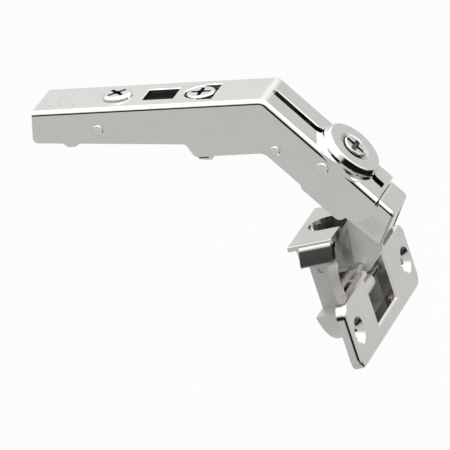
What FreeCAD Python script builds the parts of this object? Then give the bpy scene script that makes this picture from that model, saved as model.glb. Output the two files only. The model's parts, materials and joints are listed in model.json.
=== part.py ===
"""Concealed cup hinge with an angled clip-on arm, as a parametric FreeCAD document.

Row frame: +X runs along the arm from its rear end to the bend, +Y along the hinge pins,
+Z away from the cabinet panel. The origin is the centre of the face of the clip adapter
that sits on the mounting plate. All sizes are in millimetres and degrees.
"""
import FreeCAD, Part
import math
import os
import Sketcher
from FreeCAD import Placement, Rotation, Vector

Y_AXIS = Vector(0, 1, 0)

SIZES = {
    # where the frame lies on the arm
    "seat_place": (13.0, "rear end of the arm to the origin"),
    # arm, a bent channel
    "arm_wall": (1.2, "sheet thickness"),
    "arm_half_width": (8.2, "centre plane to the outside of a side wall"),
    "arm_bend_radius": (1.2, "outside radius along the top edges"),
    "arm_rear_length": (61.5, "rear end to the bend, along the top"),
    "arm_front_length": (38.3, "bend to the front edge, along the top"),
    "bend_angle": (48.1, "turn of the front section, downwards"),
    "bend_round": (3.0, "outside radius of the bend"),
    "rear_depth": (8.4, "height of the side wall at the rear end"),
    "rear_slope": (1.1, "how far the lower rear corner stands back"),
    "step_place": (39.3, "rear end to the step in the lower edge"),
    "step_run": (1.9, "length of that step"),
    "step_depth": (10.8, "height of the side wall before the step"),
    "bend_depth": (14.3, "height of the side wall after the step"),
    "front_depth": (10.95, "height of the side wall of the front section"),
    "cheek_depth": (11.6, "height of the side wall at the deeper cheek"),
    "cheek_place": (22.3, "bend to the start of that cheek"),
    "cheek_gap": (3.5, "end of that cheek to the front edge"),
    "nose_lip": (3.5, "height of the upright front edge of the side wall"),
    "nose_cut": (9.4, "depth where the front edge turns down"),
    "nose_back": (2.9, "how far the front edge has moved back there"),
    "corner_round": (1.3, "rounding of the lower corners"),
    # windows of the arm
    "window_place": (28.1, "rear end to the window"),
    "window_length": (8.2, "window along the arm"),
    "window_width": (7.0, "window across the arm"),
    "cam_place": (42.9, "rear end to the depth cam"),
    "cam_hole_radius": (4.3, "round end of the cam opening"),
    "cam_hole_reach": (4.1, "cam centre to the square end of the opening"),
    "cam_hole_width": (10.0, "width of the square end"),
    "slot_start": (1.0, "bend to the rear end of the long slot"),
    "slot_end": (17.5, "bend to the front end of the long slot"),
    "slot_width": (2.4, "width of the long slot"),
    "lip_round": (0.3, "rounded lips of the openings"),
    "notch_length": (4.2, "short front slot"),
    "notch_gap": (0.9, "end of the short front slot to the front edge"),
    "notch_width": (2.7, "width of the short front slot"),
    "grip_first": (3.7, "rear end to the first grip rib"),
    "grip_pitch": (3.1, "grip rib spacing"),
    "grip_radius": (0.35, "radius of a grip rib's section"),
    "grip_height": (0.15, "how far a grip rib stands out"),
    "grip_length": (9.0, "length of a grip rib"),
    # knuckle, the round drawn boss round the side adjusting screw
    "knuckle_gap": (12.9, "centre of the knuckle to the front edge"),
    "knuckle_radius": (8.4, "outside radius"),
    "knuckle_top_radius": (7.75, "radius of its flat top"),
    "knuckle_height": (3.15, "top of the knuckle above the arm"),
    "knuckle_shoulder": (1.5, "height above the arm where its side turns upright"),
    "knuckle_round": (0.45, "rounding of its top edge and shoulder"),
    "knuckle_foot": (1.3, "radius of the foot where it flares into the arm"),
    "dish_radius": (4.4, "shallow dish round the screw head"),
    "dish_drop": (0.25, "depth of that dish"),
    "well_radius": (3.65, "round well that the screw head lies in"),
    "dish_depth": (0.9, "depth of that well"),
    "collar_radius": (4.4, "outside radius of the threaded collar"),
    "collar_depth": (1.2, "length of the threaded collar below the dish"),
    # side adjusting screw
    "side_shank_radius": (2.0, "threaded shank"),
    "side_head_radius": (3.2, "head"),
    "side_head_height": (0.85, "head"),
    "side_neck_radius": (1.3, "waist that the carrier hangs on"),
    "side_foot_radius": (2.2, "foot below the waist"),
    "side_foot_height": (0.8, "foot"),
    "recess_radius": (1.9, "reach of the cross recess of the side screw"),
    "recess_width": (1.0, "width of a recess arm"),
    "recess_depth": (0.75, "depth of a recess arm"),
    "recess_core": (1.05, "radius of the deeper middle of a recess"),
    "recess_core_depth": (1.5, "depth of that middle"),
    # adapter that clips on the mounting plate
    "slide_gap": (0.2, "arm to adapter, under the top"),
    "side_gap": (0.25, "between neighbouring channels, each side"),
    "adapter_wall": (1.0, "sheet thickness"),
    "adapter_start": (3.2, "rear end of the arm to the adapter"),
    "adapter_end": (46.9, "rear end of the arm to the front of the adapter"),
    "adapter_depth": (7.6, "height of the adapter below the arm's top, rear"),
    "hook_depth": (15.9, "lowest point of the front hook"),
    "hook_start": (40.9, "rear end of the arm to the front hook"),
    "hook_length": (5.4, "front hook"),
    "hook_eye_place": (43.0, "rear end of the arm to the slot in the hook"),
    "hook_eye_depth": (14.95, "depth of that slot"),
    "hook_eye_length": (2.0, "length of that slot"),
    "hook_eye_height": (0.7, "height of that slot"),
    "depth_travel": (2.0, "depth adjustment each way"),
    # depth cam
    "cam_radius": (3.75, "head of the depth cam"),
    "cam_rise": (0.15, "head above the arm"),
    "cam_neck_radius": (2.1, "journal in the adapter slot"),
    # lock screw
    "lock_place": (20.6, "rear end of the arm to the lock screw"),
    "lock_head_radius": (3.9, "head"),
    "lock_head_height": (1.0, "head"),
    "lock_shank_radius": (1.75, "shank"),
    "lock_length": (4.2, "shank below the head"),
    "lock_boss_radius": (2.9, "drawn boss of the adapter round the thread"),
    "lock_boss_depth": (1.3, "that boss below the adapter's top"),
    # rivets
    "guide_place": (16.8, "rear end of the arm to the guide rivets"),
    "guide_depth": (5.8, "depth of the guide rivets"),
    "guide_radius": (1.0, "guide rivet shank"),
    "guide_head_radius": (1.4, "guide rivet head"),
    "pivot_place": (11.0, "bend to the carrier pivot"),
    "pivot_depth": (8.5, "depth of the carrier pivot"),
    "pivot_radius": (1.1, "carrier pivot shank"),
    "pivot_head_radius": (1.35, "carrier pivot head"),
    "sleeve_wall": (0.9, "wall of the sleeve on the carrier pivot"),
    "stop_gap": (2.7, "stop rivets to the centre of the knuckle"),
    "stop_depth": (3.7, "depth of the stop rivet"),
    "stop_radius": (1.3, "stop rivet shank"),
    "stop_head_radius": (1.75, "stop rivet head"),
    "stop_play": (0.6, "play of the carrier round the stop rivet, up and down"),
    "rivet_rise": (0.3, "rivet heads beyond the wall"),
    "fit": (0.05, "radial clearance of a running fit"),
    "press": (0.02, "radial clearance of a fixed pin"),
    # release latch
    "latch_wall": (0.9, "sheet thickness"),
    "latch_start": (0.9, "rear end of the arm to the latch"),
    "latch_pivot_place": (12.2, "rear end of the arm to the latch pin"),
    "latch_pivot_depth": (5.3, "depth of the latch pin"),
    "latch_pin_radius": (0.9, "latch pin"),
    "latch_depth": (11.0, "lowest point of the latch hooks"),
    "latch_travel": (8.0, "swing of the latch"),
    "spring_wire": (0.3, "wire radius of the latch spring"),
    "spring_radius": (1.55, "mean radius of the coil"),
    "spring_pitch": (0.75, "pitch of the coil"),
    "spring_turns": (3.25, "turns of the coil"),
    # carrier, the inner front channel
    "carrier_wall": (1.0, "sheet thickness"),
    "carrier_low": (2.15, "top of the carrier below the arm's top, under the arm"),
    "carrier_high": (0.6, "the same in front of the arm"),
    "carrier_start": (14.5, "bend to the rear end of the carrier's top"),
    "joggle_gap": (0.3, "front edge of the arm to the step in the carrier's top"),
    "carrier_reach": (5.6, "front edge of the arm to the front of the carrier's top"),
    "carrier_bend": (1.3, "outside radius where the nose turns down"),
    "nose_run": (3.0, "front of the carrier's top to the foot of its nose"),
    "nose_depth": (9.7, "depth of the foot of the nose"),
    "carrier_belly": (10.3, "depth of the carrier's lower edge"),
    "belly_gap": (7.5, "front of the carrier's top to where that edge starts to rise"),
    "carrier_tail_radius": (2.5, "round tail at the carrier pivot"),
    "pin_skin": (0.3, "wall left outside the ends of the link pins"),
    "slit_top": (5.7, "depth where the slits in the nose start"),
    "nose_set": (0.2, "how far the nose plate lies behind the ends of the side walls"),
    "tilt": (1.4, "swing of the carrier each way"),
    # linkage
    "outer_pin_gap": (2.6, "outer link's pin to the front of the carrier's top"),
    "outer_pin_depth": (7.9, "depth of that pin"),
    "inner_pin_gap": (6.3, "inner link's pin to the front of the carrier's top"),
    "inner_pin_depth": (5.6, "depth of that pin"),
    "link_pin_radius": (0.9, "the link pins"),
    "link_wall": (0.9, "sheet thickness of the outer link"),
    "outer_length": (12.32, "pin to pin of the outer link"),
    "outer_angle": (109.9, "direction of the outer link below +X at rest"),
    "web_start": (5.35, "outer link's pin to the start of its web, along the link"),
    "web_out": (4.4, "outside of the web at its start, square to the link"),
    "web_lean": (0.45, "web beyond the cup eye's round"),
    "link_tail": (6.3, "outer link's pin to its rear corner"),
    "inner_thickness": (1.0, "thickness of the inner link"),
    "inner_half_width": (4.1, "half the width of the inner link"),
    "inner_eye_wall": (0.85, "wall of the inner link's eyes"),
    "inner_sag": (5.95, "how far the inner link bows out"),
    "inner_play": (0.35, "clearance in the inner link's cup eye"),
    # cup
    "flange_tilt": (8.6, "tilt of the mounting flange at rest"),
    "flange_length": (56.5, "flange across the cup"),
    "flange_height": (17.6, "flange along the door"),
    "flange_thickness": (2.7, "flange"),
    "flange_corner": (3.2, "rounded corners of the flange"),
    "flange_edge": (0.9, "rounding of the flange's front edges"),
    "hole_edge": (5.75, "end of the flange to a screw hole"),
    "hole_line": (8.8, "upper flange edge to the screw holes"),
    "hole_radius": (2.2, "screw holes"),
    "sink_radius": (3.7, "countersinks"),
    "cup_radius": (17.5, "cup"),
    "cup_centre": (-0.65, "upper flange edge to the cup's axis"),
    "cup_depth": (12.6, "flange front to the cup's bottom"),
    "rim_drop": (3.4, "flange front to the upper rim"),
    "rim_radius": (15.6, "upper rim"),
    "rim_thickness": (2.8, "upper rim"),
    "body_drop": (4.0, "flange front to the round body"),
    "side_cut_start": (-8.0, "upper flange edge to where the body's sides are cut flat"),
    "side_cut_end": (5.4, "upper flange edge to the end of that cut"),
    "mouth_half_width": (8.8, "mouth of the cup"),
    "mouth_corner": (1.5, "rounded lower corners of the mouth"),
    "mouth_bevel": (0.5, "bevel of the mouth's edge"),
    "mouth_lip": (2.0, "flange front to where the hollow widens"),
    "hollow_half_width": (9.2, "hollow behind the mouth"),
    "mouth_reach": (13.15, "upper flange edge to the end of the mouth"),
    "cup_floor": (1.2, "floor of the cup"),
    "end_wall_reach": (12.5, "cup's axis to the flat end wall"),
    "end_wall": (1.25, "thickness of the flat end wall"),
    "end_wall_half": (13.0, "half width of the flat end wall"),
    "end_wall_round": (0.3, "rounding of its outer edges"),
    "end_wall_depth": (15.6, "flange front to the foot of the end wall"),
    "arch_half_width": (4.6, "notch in the end wall"),
    "arch_depth": (13.4, "flange front to the foot of the notch"),
    "side_shell": (1.3, "centre plane to the flat side face, beyond the mouth"),
    "mark_drop": (-4.7, "upper flange edge to the round mark on the flat side face"),
    "mark_depth": (9.7, "flange front to that mark"),
    "mark_radius": (0.95, "that mark"),
    "cup_pin_drop": (-1.45, "upper flange edge to the outer cup pin"),
    "cup_pin_depth": (1.1, "flange front to the outer cup pin"),
    "deep_pin_drop": (5.8, "upper flange edge to the inner cup pin"),
    "deep_pin_depth": (4.5, "flange front to the inner cup pin"),
    "lug_half": (6.0, "centre plane to the inside of the pin lugs"),
    "lug_radius": (1.3, "round end of the pin lugs"),
}


class Size:
    """A number that remembers the spreadsheet expression it was worked out with."""

    def __init__(self, value, text):
        self.value = float(value)
        self.text = text

    def __add__(self, other):
        other = as_size(other)
        return Size(self.value + other.value, "(%s + %s)" % (self.text, other.text))

    def __sub__(self, other):
        other = as_size(other)
        return Size(self.value - other.value, "(%s - %s)" % (self.text, other.text))

    def __mul__(self, other):
        other = as_size(other)
        return Size(self.value * other.value, "(%s * %s)" % (self.text, other.text))

    def __truediv__(self, other):
        other = as_size(other)
        return Size(self.value / other.value, "(%s / %s)" % (self.text, other.text))

    def __neg__(self):
        return as_size(0) - self

    def __radd__(self, other):
        return as_size(other) + self

    def __rsub__(self, other):
        return as_size(other) - self

    def __rmul__(self, other):
        return as_size(other) * self


def as_size(number):
    """Wrap a plain number so that it can stand in an expression."""
    if isinstance(number, Size):
        return number
    return Size(number, "(%.6f)" % number)


def sine(angle):
    """Sine of an angle in degrees."""
    return Size(math.sin(math.radians(angle.value)), "sin(%s)" % angle.text)


def cosine(angle):
    """Cosine of an angle in degrees."""
    return Size(math.cos(math.radians(angle.value)), "cos(%s)" % angle.text)


def tangent(angle):
    """Tangent of an angle in degrees."""
    return Size(math.tan(math.radians(angle.value)), "tan(%s)" % angle.text)


def root(number):
    """Square root."""
    return Size(math.sqrt(number.value), "sqrt(%s)" % number.text)


def direction(rise, run):
    """Angle in degrees of a line with this rise and run."""
    angle = math.degrees(math.atan2(rise.value, run.value))
    return Size(angle, "atan2(%s; %s)" % (rise.text, run.text))


doc = FreeCAD.newDocument("CupHinge")
sheet = doc.addObject("Spreadsheet::Sheet", "Sizes")
for row, (alias, (number, note)) in enumerate(SIZES.items(), start=1):
    sheet.set("A%d" % row, note)
    sheet.set("B%d" % row, str(number))
    sheet.setAlias("B%d" % row, alias)
doc.recompute()


class Sizes:
    """Gives every driving size by its alias, such as size.arm_wall."""

    def __getattr__(self, alias):
        return Size(SIZES[alias][0], "Sizes." + alias)


size = Sizes()

# Places worked out from the driving sizes, in the arm's frame: x from the arm's rear end,
# z from the top of its rear section.

SEAT_DEPTH = size.arm_wall + size.slide_gap + size.adapter_wall
ORIGIN = (size.seat_place, -SEAT_DEPTH)


def front(along, depth):
    """Point of the front section: along its top from the bend, and square to it, inwards."""
    across = size.arm_rear_length + along * cosine(size.bend_angle) - depth * sine(size.bend_angle)
    height = -(along * sine(size.bend_angle)) - depth * cosine(size.bend_angle)
    return (across, height)


CHEEK_END = size.arm_front_length - size.cheek_gap
NOTCH_END = size.arm_front_length - size.notch_gap
KNUCKLE_PLACE = size.arm_front_length - size.knuckle_gap
STOP_PLACE = KNUCKLE_PLACE - size.stop_gap
JOGGLE_PLACE = size.arm_front_length + size.joggle_gap
CARRIER_END = size.arm_front_length + size.carrier_reach
NOSE_REACH = CARRIER_END + size.nose_run
BELLY_PLACE = CARRIER_END - size.belly_gap
OUTER_PIN_PLACE = CARRIER_END - size.outer_pin_gap
INNER_PIN_PLACE = CARRIER_END - size.inner_pin_gap
OUTER_PIN = front(OUTER_PIN_PLACE, size.outer_pin_depth)
INNER_PIN = front(INNER_PIN_PLACE, size.inner_pin_depth)
CUP_PIN = (
    OUTER_PIN[0] + size.outer_length * cosine(size.outer_angle),
    OUTER_PIN[1] - size.outer_length * sine(size.outer_angle),
)


def cup_offset(drop, rise):
    """Step in the arm's frame for a step down the door and one out of the cup's mouth."""
    across = drop * sine(size.flange_tilt) + rise * cosine(size.flange_tilt)
    height = rise * sine(size.flange_tilt) - drop * cosine(size.flange_tilt)
    return (across, height)


PIN_STEP = cup_offset(size.cup_pin_drop, -size.cup_pin_depth)
CUP_PLACE = (CUP_PIN[0] - PIN_STEP[0], CUP_PIN[1] - PIN_STEP[1])
DEEP_STEP = cup_offset(size.deep_pin_drop, -size.deep_pin_depth)
DEEP_PIN = (CUP_PLACE[0] + DEEP_STEP[0], CUP_PLACE[1] + DEEP_STEP[1])
INNER_RUN = DEEP_PIN[0] - INNER_PIN[0]
INNER_FALL = INNER_PIN[1] - DEEP_PIN[1]
INNER_LENGTH = root(INNER_RUN * INNER_RUN + INNER_FALL * INNER_FALL)
INNER_ANGLE = direction(INNER_FALL, INNER_RUN)


def place(target, point, angle=None):
    """Set a body at a point of the arm's frame, turned down about the pin direction."""
    angle = as_size(0) if angle is None else angle
    across = point[0] - ORIGIN[0]
    height = point[1] - ORIGIN[1]
    target.Placement = Placement(Vector(across.value, 0, height.value), Rotation(Y_AXIS, angle.value or 1))
    target.setExpression("Placement.Base.x", across.text)
    target.setExpression("Placement.Base.z", height.text)
    target.setExpression("Placement.Rotation.Angle", angle.text)


def body(name, point=None, angle=None):
    """New piece in a frame of its own."""
    piece = doc.addObject("PartDesign::Body", name)
    piece.Label = name
    place(piece, point or (as_size(0), as_size(0)), angle)
    return piece


def sketch(piece, plane, lift=None, turn=None, shift=None):
    """Sketch on one of the body's own planes, lifted off it and turned if asked."""
    drawing = piece.newObject("Sketcher::SketchObject", "Sketch")
    support = [item for item in piece.Origin.OriginFeatures if item.Role == plane][0]
    drawing.AttachmentSupport = [(support, "")]
    drawing.MapMode = "FlatFace"
    turn_value = turn.value if turn is not None else 1
    base = Vector(shift.value if shift is not None else 0, 0, lift.value if lift is not None else 0)
    drawing.AttachmentOffset = Placement(base, Rotation(Y_AXIS, turn_value))
    drawing.setExpression("AttachmentOffset.Rotation.Angle", turn.text if turn is not None else "0")
    if lift is not None:
        drawing.setExpression("AttachmentOffset.Base.z", lift.text)
    if shift is not None:
        drawing.setExpression("AttachmentOffset.Base.x", shift.text)
    return drawing


def hold(drawing, kind, geometry, point, amount):
    """Hold one coordinate of a sketch's point at a size from the sketch's origin."""
    amount = as_size(amount)
    index = drawing.addConstraint(Sketcher.Constraint(kind, -1, 1, geometry, point, amount.value))
    drawing.setExpression("Constraints[%d]" % index, amount.text)


def tie(drawing, geometry, point, across, height):
    """Hold both coordinates of a sketch's point."""
    hold(drawing, "DistanceX", geometry, point, across)
    hold(drawing, "DistanceY", geometry, point, height)


def outline(drawing, points):
    """Closed outline of straight edges through the points."""
    points = [(as_size(across), as_size(height)) for across, height in points]
    first = drawing.GeometryCount
    count = len(points)
    for index in range(count):
        start = points[index]
        finish = points[(index + 1) % count]
        line = Part.LineSegment(
            Vector(start[0].value, start[1].value, 0),
            Vector(finish[0].value, finish[1].value, 0),
        )
        drawing.addGeometry(line)
    for index in range(count):
        following = first + (index + 1) % count
        drawing.addConstraint(Sketcher.Constraint("Coincident", first + index, 2, following, 1))
        tie(drawing, first + index, 1, *points[index])
    return drawing


def disc(drawing, centre, radius):
    """Circle in a sketch."""
    across, height, radius = (as_size(item) for item in (*centre, radius))
    index = drawing.addGeometry(Part.Circle(Vector(across.value, height.value, 0), Vector(0, 0, 1), radius.value))
    tie(drawing, index, 3, across, height)
    constraint = drawing.addConstraint(Sketcher.Constraint("Radius", index, radius.value))
    drawing.setExpression("Constraints[%d]" % constraint, radius.text)
    return drawing


def block(drawing, left, right, low, high):
    """Upright rectangle in a sketch."""
    return outline(drawing, [(left, low), (right, low), (right, high), (left, high)])


def slot(drawing, start, end, half):
    """Straight slot with round ends along the sketch's x direction."""
    start, end, half = (as_size(item) for item in (start, end, half))
    left = Part.ArcOfCircle(
        Part.Circle(Vector(start.value, 0, 0), Vector(0, 0, 1), half.value), math.pi / 2, 3 * math.pi / 2
    )
    right = Part.ArcOfCircle(
        Part.Circle(Vector(end.value, 0, 0), Vector(0, 0, 1), half.value), -math.pi / 2, math.pi / 2
    )
    top = Part.LineSegment(Vector(end.value, half.value, 0), Vector(start.value, half.value, 0))
    low = Part.LineSegment(Vector(start.value, -half.value, 0), Vector(end.value, -half.value, 0))
    first = drawing.addGeometry([left, low, right, top])[0]
    for index in range(4):
        following = first + (index + 1) % 4
        drawing.addConstraint(Sketcher.Constraint("Coincident", first + index, 2, following, 1))
    tie(drawing, first, 3, start, 0)
    tie(drawing, first + 2, 3, end, 0)
    tie(drawing, first, 1, start, half)
    hold(drawing, "DistanceX", first, 2, start)
    tie(drawing, first + 2, 1, end, -half)
    hold(drawing, "DistanceX", first + 2, 2, end)
    return drawing


def stretch(feature, length, both):
    """Set a pad's or pocket's length, one way or half each way."""
    length = as_size(length)
    feature.Type = "Length"
    feature.SideType = "Symmetric" if both else "One side"
    feature.Length = length.value
    feature.setExpression("Length", length.text)


def pad(piece, drawing, length, both=True, back=False):
    """Add material over a length."""
    feature = piece.newObject("PartDesign::Pad", "Pad")
    feature.Profile = drawing
    stretch(feature, length, both)
    feature.Reversed = back
    doc.recompute()
    return feature


def pocket(piece, drawing, length, both=True, back=False):
    """Take material away over a length, and check that something went."""
    before = piece.Shape.Volume
    feature = piece.newObject("PartDesign::Pocket", "Pocket")
    feature.Profile = drawing
    stretch(feature, length, both)
    feature.Reversed = back
    doc.recompute()
    if piece.Shape.Volume > before - 1e-6:
        raise RuntimeError("a pocket of %s cuts nothing" % piece.Label)
    return feature


def spin(piece, drawing, axis="V_Axis", groove=False):
    """Revolve a sketch about its own upright or level axis."""
    kind = "PartDesign::Groove" if groove else "PartDesign::Revolution"
    feature = piece.newObject(kind, "Spin")
    feature.Profile = drawing
    feature.ReferenceAxis = (drawing, [axis])
    feature.Angle = 360
    doc.recompute()
    return feature


def soften(piece, radius, wanted, kind="PartDesign::Fillet"):
    """Round every edge of the body for which wanted(edge) is true."""
    radius = as_size(radius)
    shape = piece.Shape.copy()
    shape.Placement = Placement()
    names = ["Edge%d" % number for number, edge in enumerate(shape.Edges, start=1) if wanted(edge)]
    if not names:
        raise RuntimeError("no edge to soften on %s" % piece.Label)
    base = piece.Tip
    feature = piece.newObject(kind, "Soft")
    feature.Base = (base, names)
    dimension = "Radius" if kind.endswith("Fillet") else "Size"
    setattr(feature, dimension, radius.value)
    feature.setExpression(dimension, radius.text)
    doc.recompute()
    if "Invalid" in feature.State or "Error" in feature.State:
        raise RuntimeError("a rounding of %s failed" % piece.Label)
    return feature


def middle(edge):
    """Point halfway along an edge."""
    return edge.valueAt(0.5 * (edge.FirstParameter + edge.LastParameter))


def heading(edge):
    """Direction of an edge at its middle, without its sign."""
    way = edge.tangentAt(0.5 * (edge.FirstParameter + edge.LastParameter))
    return Vector(abs(way.x), abs(way.y), abs(way.z))


def cross_edge_at(points, reach=0.05):
    """Picker for the edges that run along Y through any of these side-view points."""
    spots = [(as_size(across).value, as_size(height).value) for across, height in points]

    def wanted(edge):
        spot = middle(edge)
        near = any(math.hypot(spot.x - across, spot.z - height) < reach for across, height in spots)
        return near and heading(edge).y > 0.99

    return wanted


def long_edge_at(half, top, low=None):
    """Picker for side-view edges at this distance from the centre plane, between two heights."""
    half = as_size(half).value
    top = as_size(top).value

    def wanted(edge):
        spot = middle(edge)
        if abs(abs(spot.y) - half) > 0.01 or heading(edge).y > 0.1:
            return False
        return spot.z > top - 0.01 and (low is None or spot.z < as_size(low).value)

    return wanted


def cross_recess(piece, top, reach, turn):
    """Cut a cross recess down from a screw's top, with a deeper round middle."""
    half = size.recess_width / 2
    for quarter in (0, 90):
        angle = as_size(turn + quarter)
        corners = []
        for along, across in ((-reach, -half), (reach, -half), (reach, half), (-reach, half)):
            corners.append((
                along * cosine(angle) - across * sine(angle),
                along * sine(angle) + across * cosine(angle),
            ))
        outline(drawing := sketch(piece, "XY_Plane", lift=top), corners)
        pocket(piece, drawing, size.recess_depth, both=False)
    disc(drawing := sketch(piece, "XY_Plane", lift=top), (0, 0), size.recess_core)
    pocket(piece, drawing, size.recess_core_depth, both=False)


def rivet(name, point, shank, head, half, rise):
    """Rivet across the arm with a low head at each end, on the arm's frame point."""
    piece = body(name, point)
    disc(drawing := sketch(piece, "XZ_Plane"), (0, 0), shank)
    pad(piece, drawing, 2 * half)
    for side in (1, -1):
        drawing = sketch(piece, "XZ_Plane", lift=side * half)
        disc(drawing, (0, 0), head)
        pad(piece, drawing, rise, both=False, back=side < 0)
    soften(piece, rise * 0.6, lambda edge: abs(abs(middle(edge).y) - (half + rise).value) < 0.01,
           "PartDesign::Chamfer")
    return piece


def plain_pin(name, point, radius, half):
    """Plain pin across the hinge, with slightly rounded ends."""
    piece = body(name, point)
    disc(drawing := sketch(piece, "XZ_Plane"), (0, 0), radius)
    pad(piece, drawing, 2 * half)
    soften(piece, radius * 0.25, lambda edge: abs(abs(middle(edge).y) - half.value) < 0.01,
           "PartDesign::Chamfer")
    return piece


def bore(piece, point, radius, length, plane="XZ_Plane"):
    """Round hole straight through, centred on the plane."""
    disc(drawing := sketch(piece, plane), point, radius)
    pocket(piece, drawing, length)


# Arm channel. Its side view is padded, hollowed from below, and the knuckle is turned on top.

MITRE = tangent(size.bend_angle / 2)
KNUCKLE_HALF = size.arm_half_width + 0.2
BEND_FOOT = size.arm_rear_length - size.front_depth * sine(size.bend_angle) + (
    (size.bend_depth - size.front_depth * cosine(size.bend_angle)) / tangent(size.bend_angle)
)
CHEEK_STEP = 0.8

arm = body("arm_channel")
top_bend = (size.arm_rear_length, as_size(0))
rear_foot = (-size.rear_slope, -size.rear_depth)
step_top = (size.step_place, -size.step_depth)
step_foot = (size.step_place + size.step_run, -size.bend_depth)
bend_foot = (BEND_FOOT, -size.bend_depth)
cheek_top = front(size.cheek_place - CHEEK_STEP, size.front_depth)
cheek_foot = front(size.cheek_place, size.cheek_depth)
cheek_far = front(CHEEK_END, size.cheek_depth)
nose_turn = front(size.arm_front_length - size.nose_back, size.nose_cut)
nose_low = front(size.arm_front_length, size.nose_lip)
nose_top = front(size.arm_front_length, 0)
outline(drawing := sketch(arm, "XZ_Plane"), [
    (0, 0), rear_foot, step_top, step_foot, bend_foot, cheek_top, cheek_foot,
    cheek_far, nose_turn, nose_low, nose_top, top_bend,
])
pad(arm, drawing, 2 * size.arm_half_width)
soften(arm, size.bend_round, cross_edge_at([top_bend, bend_foot]))
soften(arm, size.corner_round, cross_edge_at([rear_foot, step_top, step_foot]))
soften(arm, size.corner_round * 1.4, cross_edge_at([cheek_far]))
soften(arm, 0.7, cross_edge_at([cheek_top, cheek_foot, nose_low]))


def top_face_edge(edge):
    """Edges between the top and the side walls, bend included."""
    spot = middle(edge)
    if abs(abs(spot.y) - size.arm_half_width.value) > 0.01 or heading(edge).y > 0.1:
        return False
    along = (spot.x - size.arm_rear_length.value) * cosine(size.bend_angle).value
    along -= spot.z * sine(size.bend_angle).value
    depth = -(spot.x - size.arm_rear_length.value) * sine(size.bend_angle).value
    depth -= spot.z * cosine(size.bend_angle).value
    on_front = along > 0 and abs(depth) < 0.9 and along < size.arm_front_length.value - 0.01
    return on_front or abs(spot.z) < 0.01


soften(arm, size.arm_bend_radius, top_face_edge)
inner_bend = (size.arm_rear_length - size.arm_wall * MITRE, -size.arm_wall)
outline(drawing := sketch(arm, "XZ_Plane"), [
    (-5, -size.arm_wall), (-5, -60), front(size.arm_front_length + 5, 40),
    front(size.arm_front_length + 5, size.arm_wall), inner_bend,
])
pocket(arm, drawing, 2 * (size.arm_half_width - size.arm_wall))

# openings in the top of the rear section
block(
    drawing := sketch(arm, "XY_Plane"),
    size.window_place, size.window_place + size.window_length,
    -size.window_width / 2, size.window_width / 2,
)
pocket(arm, drawing, 4)
bore(arm, (size.cam_place, 0), size.cam_hole_radius, 4, "XY_Plane")
block(
    drawing := sketch(arm, "XY_Plane"),
    size.cam_place, size.cam_place + size.cam_hole_reach,
    -size.cam_hole_width / 2, size.cam_hole_width / 2,
)
pocket(arm, drawing, 4)
WINDOW_START = size.window_place.value - 0.01
CAM_HOLE_END = (size.cam_place + size.cam_hole_reach).value + 0.01
soften(arm, size.lip_round, lambda edge: abs(middle(edge).z) < 0.01
       and WINDOW_START < middle(edge).x < CAM_HOLE_END
       and abs(middle(edge).y) < size.cam_hole_width.value / 2 + 0.01)
LOCK_SLOT = size.depth_travel + 0.1
LOCK_HOLE = size.lock_shank_radius + 0.15
slot(
    drawing := sketch(arm, "XY_Plane"),
    size.lock_place - LOCK_SLOT, size.lock_place + LOCK_SLOT, LOCK_HOLE,
)
pocket(arm, drawing, 4)

# room under the knuckle, then the knuckle itself as a turned ring
drawing = sketch(arm, "XY_Plane", turn=size.bend_angle, shift=size.arm_rear_length)
disc(drawing, (KNUCKLE_PLACE, 0), size.arm_half_width - size.arm_wall)
pocket(arm, drawing, 2 * size.arm_wall)

KNUCKLE_FOOT_RADIUS = size.knuckle_radius + size.knuckle_foot


def knuckle_section(drawing):
    """Half section of the knuckle: drawn shell, dished top and threaded collar."""
    inside = size.arm_half_width - size.arm_wall
    dish = size.knuckle_height - size.dish_depth
    under = size.knuckle_height - size.arm_wall
    return outline(drawing, [
        (size.side_shank_radius + size.fit, dish), (size.well_radius, dish),
        (size.well_radius, size.knuckle_height - size.dish_drop),
        (size.dish_radius, size.knuckle_height), (size.knuckle_top_radius, size.knuckle_height),
        (size.knuckle_radius, size.knuckle_shoulder), (size.knuckle_radius, 0.75),
        (size.knuckle_radius + 0.3, 0.25), (KNUCKLE_FOOT_RADIUS, 0),
        (KNUCKLE_FOOT_RADIUS, -size.arm_wall * 0.5), (size.knuckle_radius, -size.arm_wall),
        (inside, -size.arm_wall), (inside, under), (size.collar_radius, under),
        (size.collar_radius, dish - size.collar_depth),
        (size.side_shank_radius + size.fit, dish - size.collar_depth),
    ])


knuckle_place = front(KNUCKLE_PLACE, 0)
drawing = arm.newObject("Sketcher::SketchObject", "Sketch")
support = [item for item in arm.Origin.OriginFeatures if item.Role == "XZ_Plane"][0]
drawing.AttachmentSupport = [(support, "")]
drawing.MapMode = "FlatFace"
drawing.AttachmentOffset = Placement(
    Vector(knuckle_place[0].value, knuckle_place[1].value, 0), Rotation(Vector(0, 0, 1), -size.bend_angle.value)
)
drawing.setExpression("AttachmentOffset.Base.x", knuckle_place[0].text)
drawing.setExpression("AttachmentOffset.Base.y", knuckle_place[1].text)
drawing.setExpression("AttachmentOffset.Rotation.Angle", (-size.bend_angle).text)
knuckle_section(drawing)
spin(arm, drawing)


def knuckle_edge(height, radius):
    """Picker for a round edge of the knuckle at this height and radius."""
    turn = math.radians(size.bend_angle.value)

    def wanted(edge):
        if not isinstance(edge.Curve, Part.Circle) or abs(edge.Curve.Radius - radius.value) > 0.02:
            return False
        spot = edge.Curve.Center
        rise = (spot.x - size.arm_rear_length.value) * math.sin(turn) + spot.z * math.cos(turn)
        return abs(rise - as_size(height).value) < 0.02

    return wanted


soften(arm, size.knuckle_round, knuckle_edge(size.knuckle_height, size.knuckle_top_radius))
soften(arm, size.knuckle_round, knuckle_edge(size.knuckle_shoulder, size.knuckle_radius))


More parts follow.
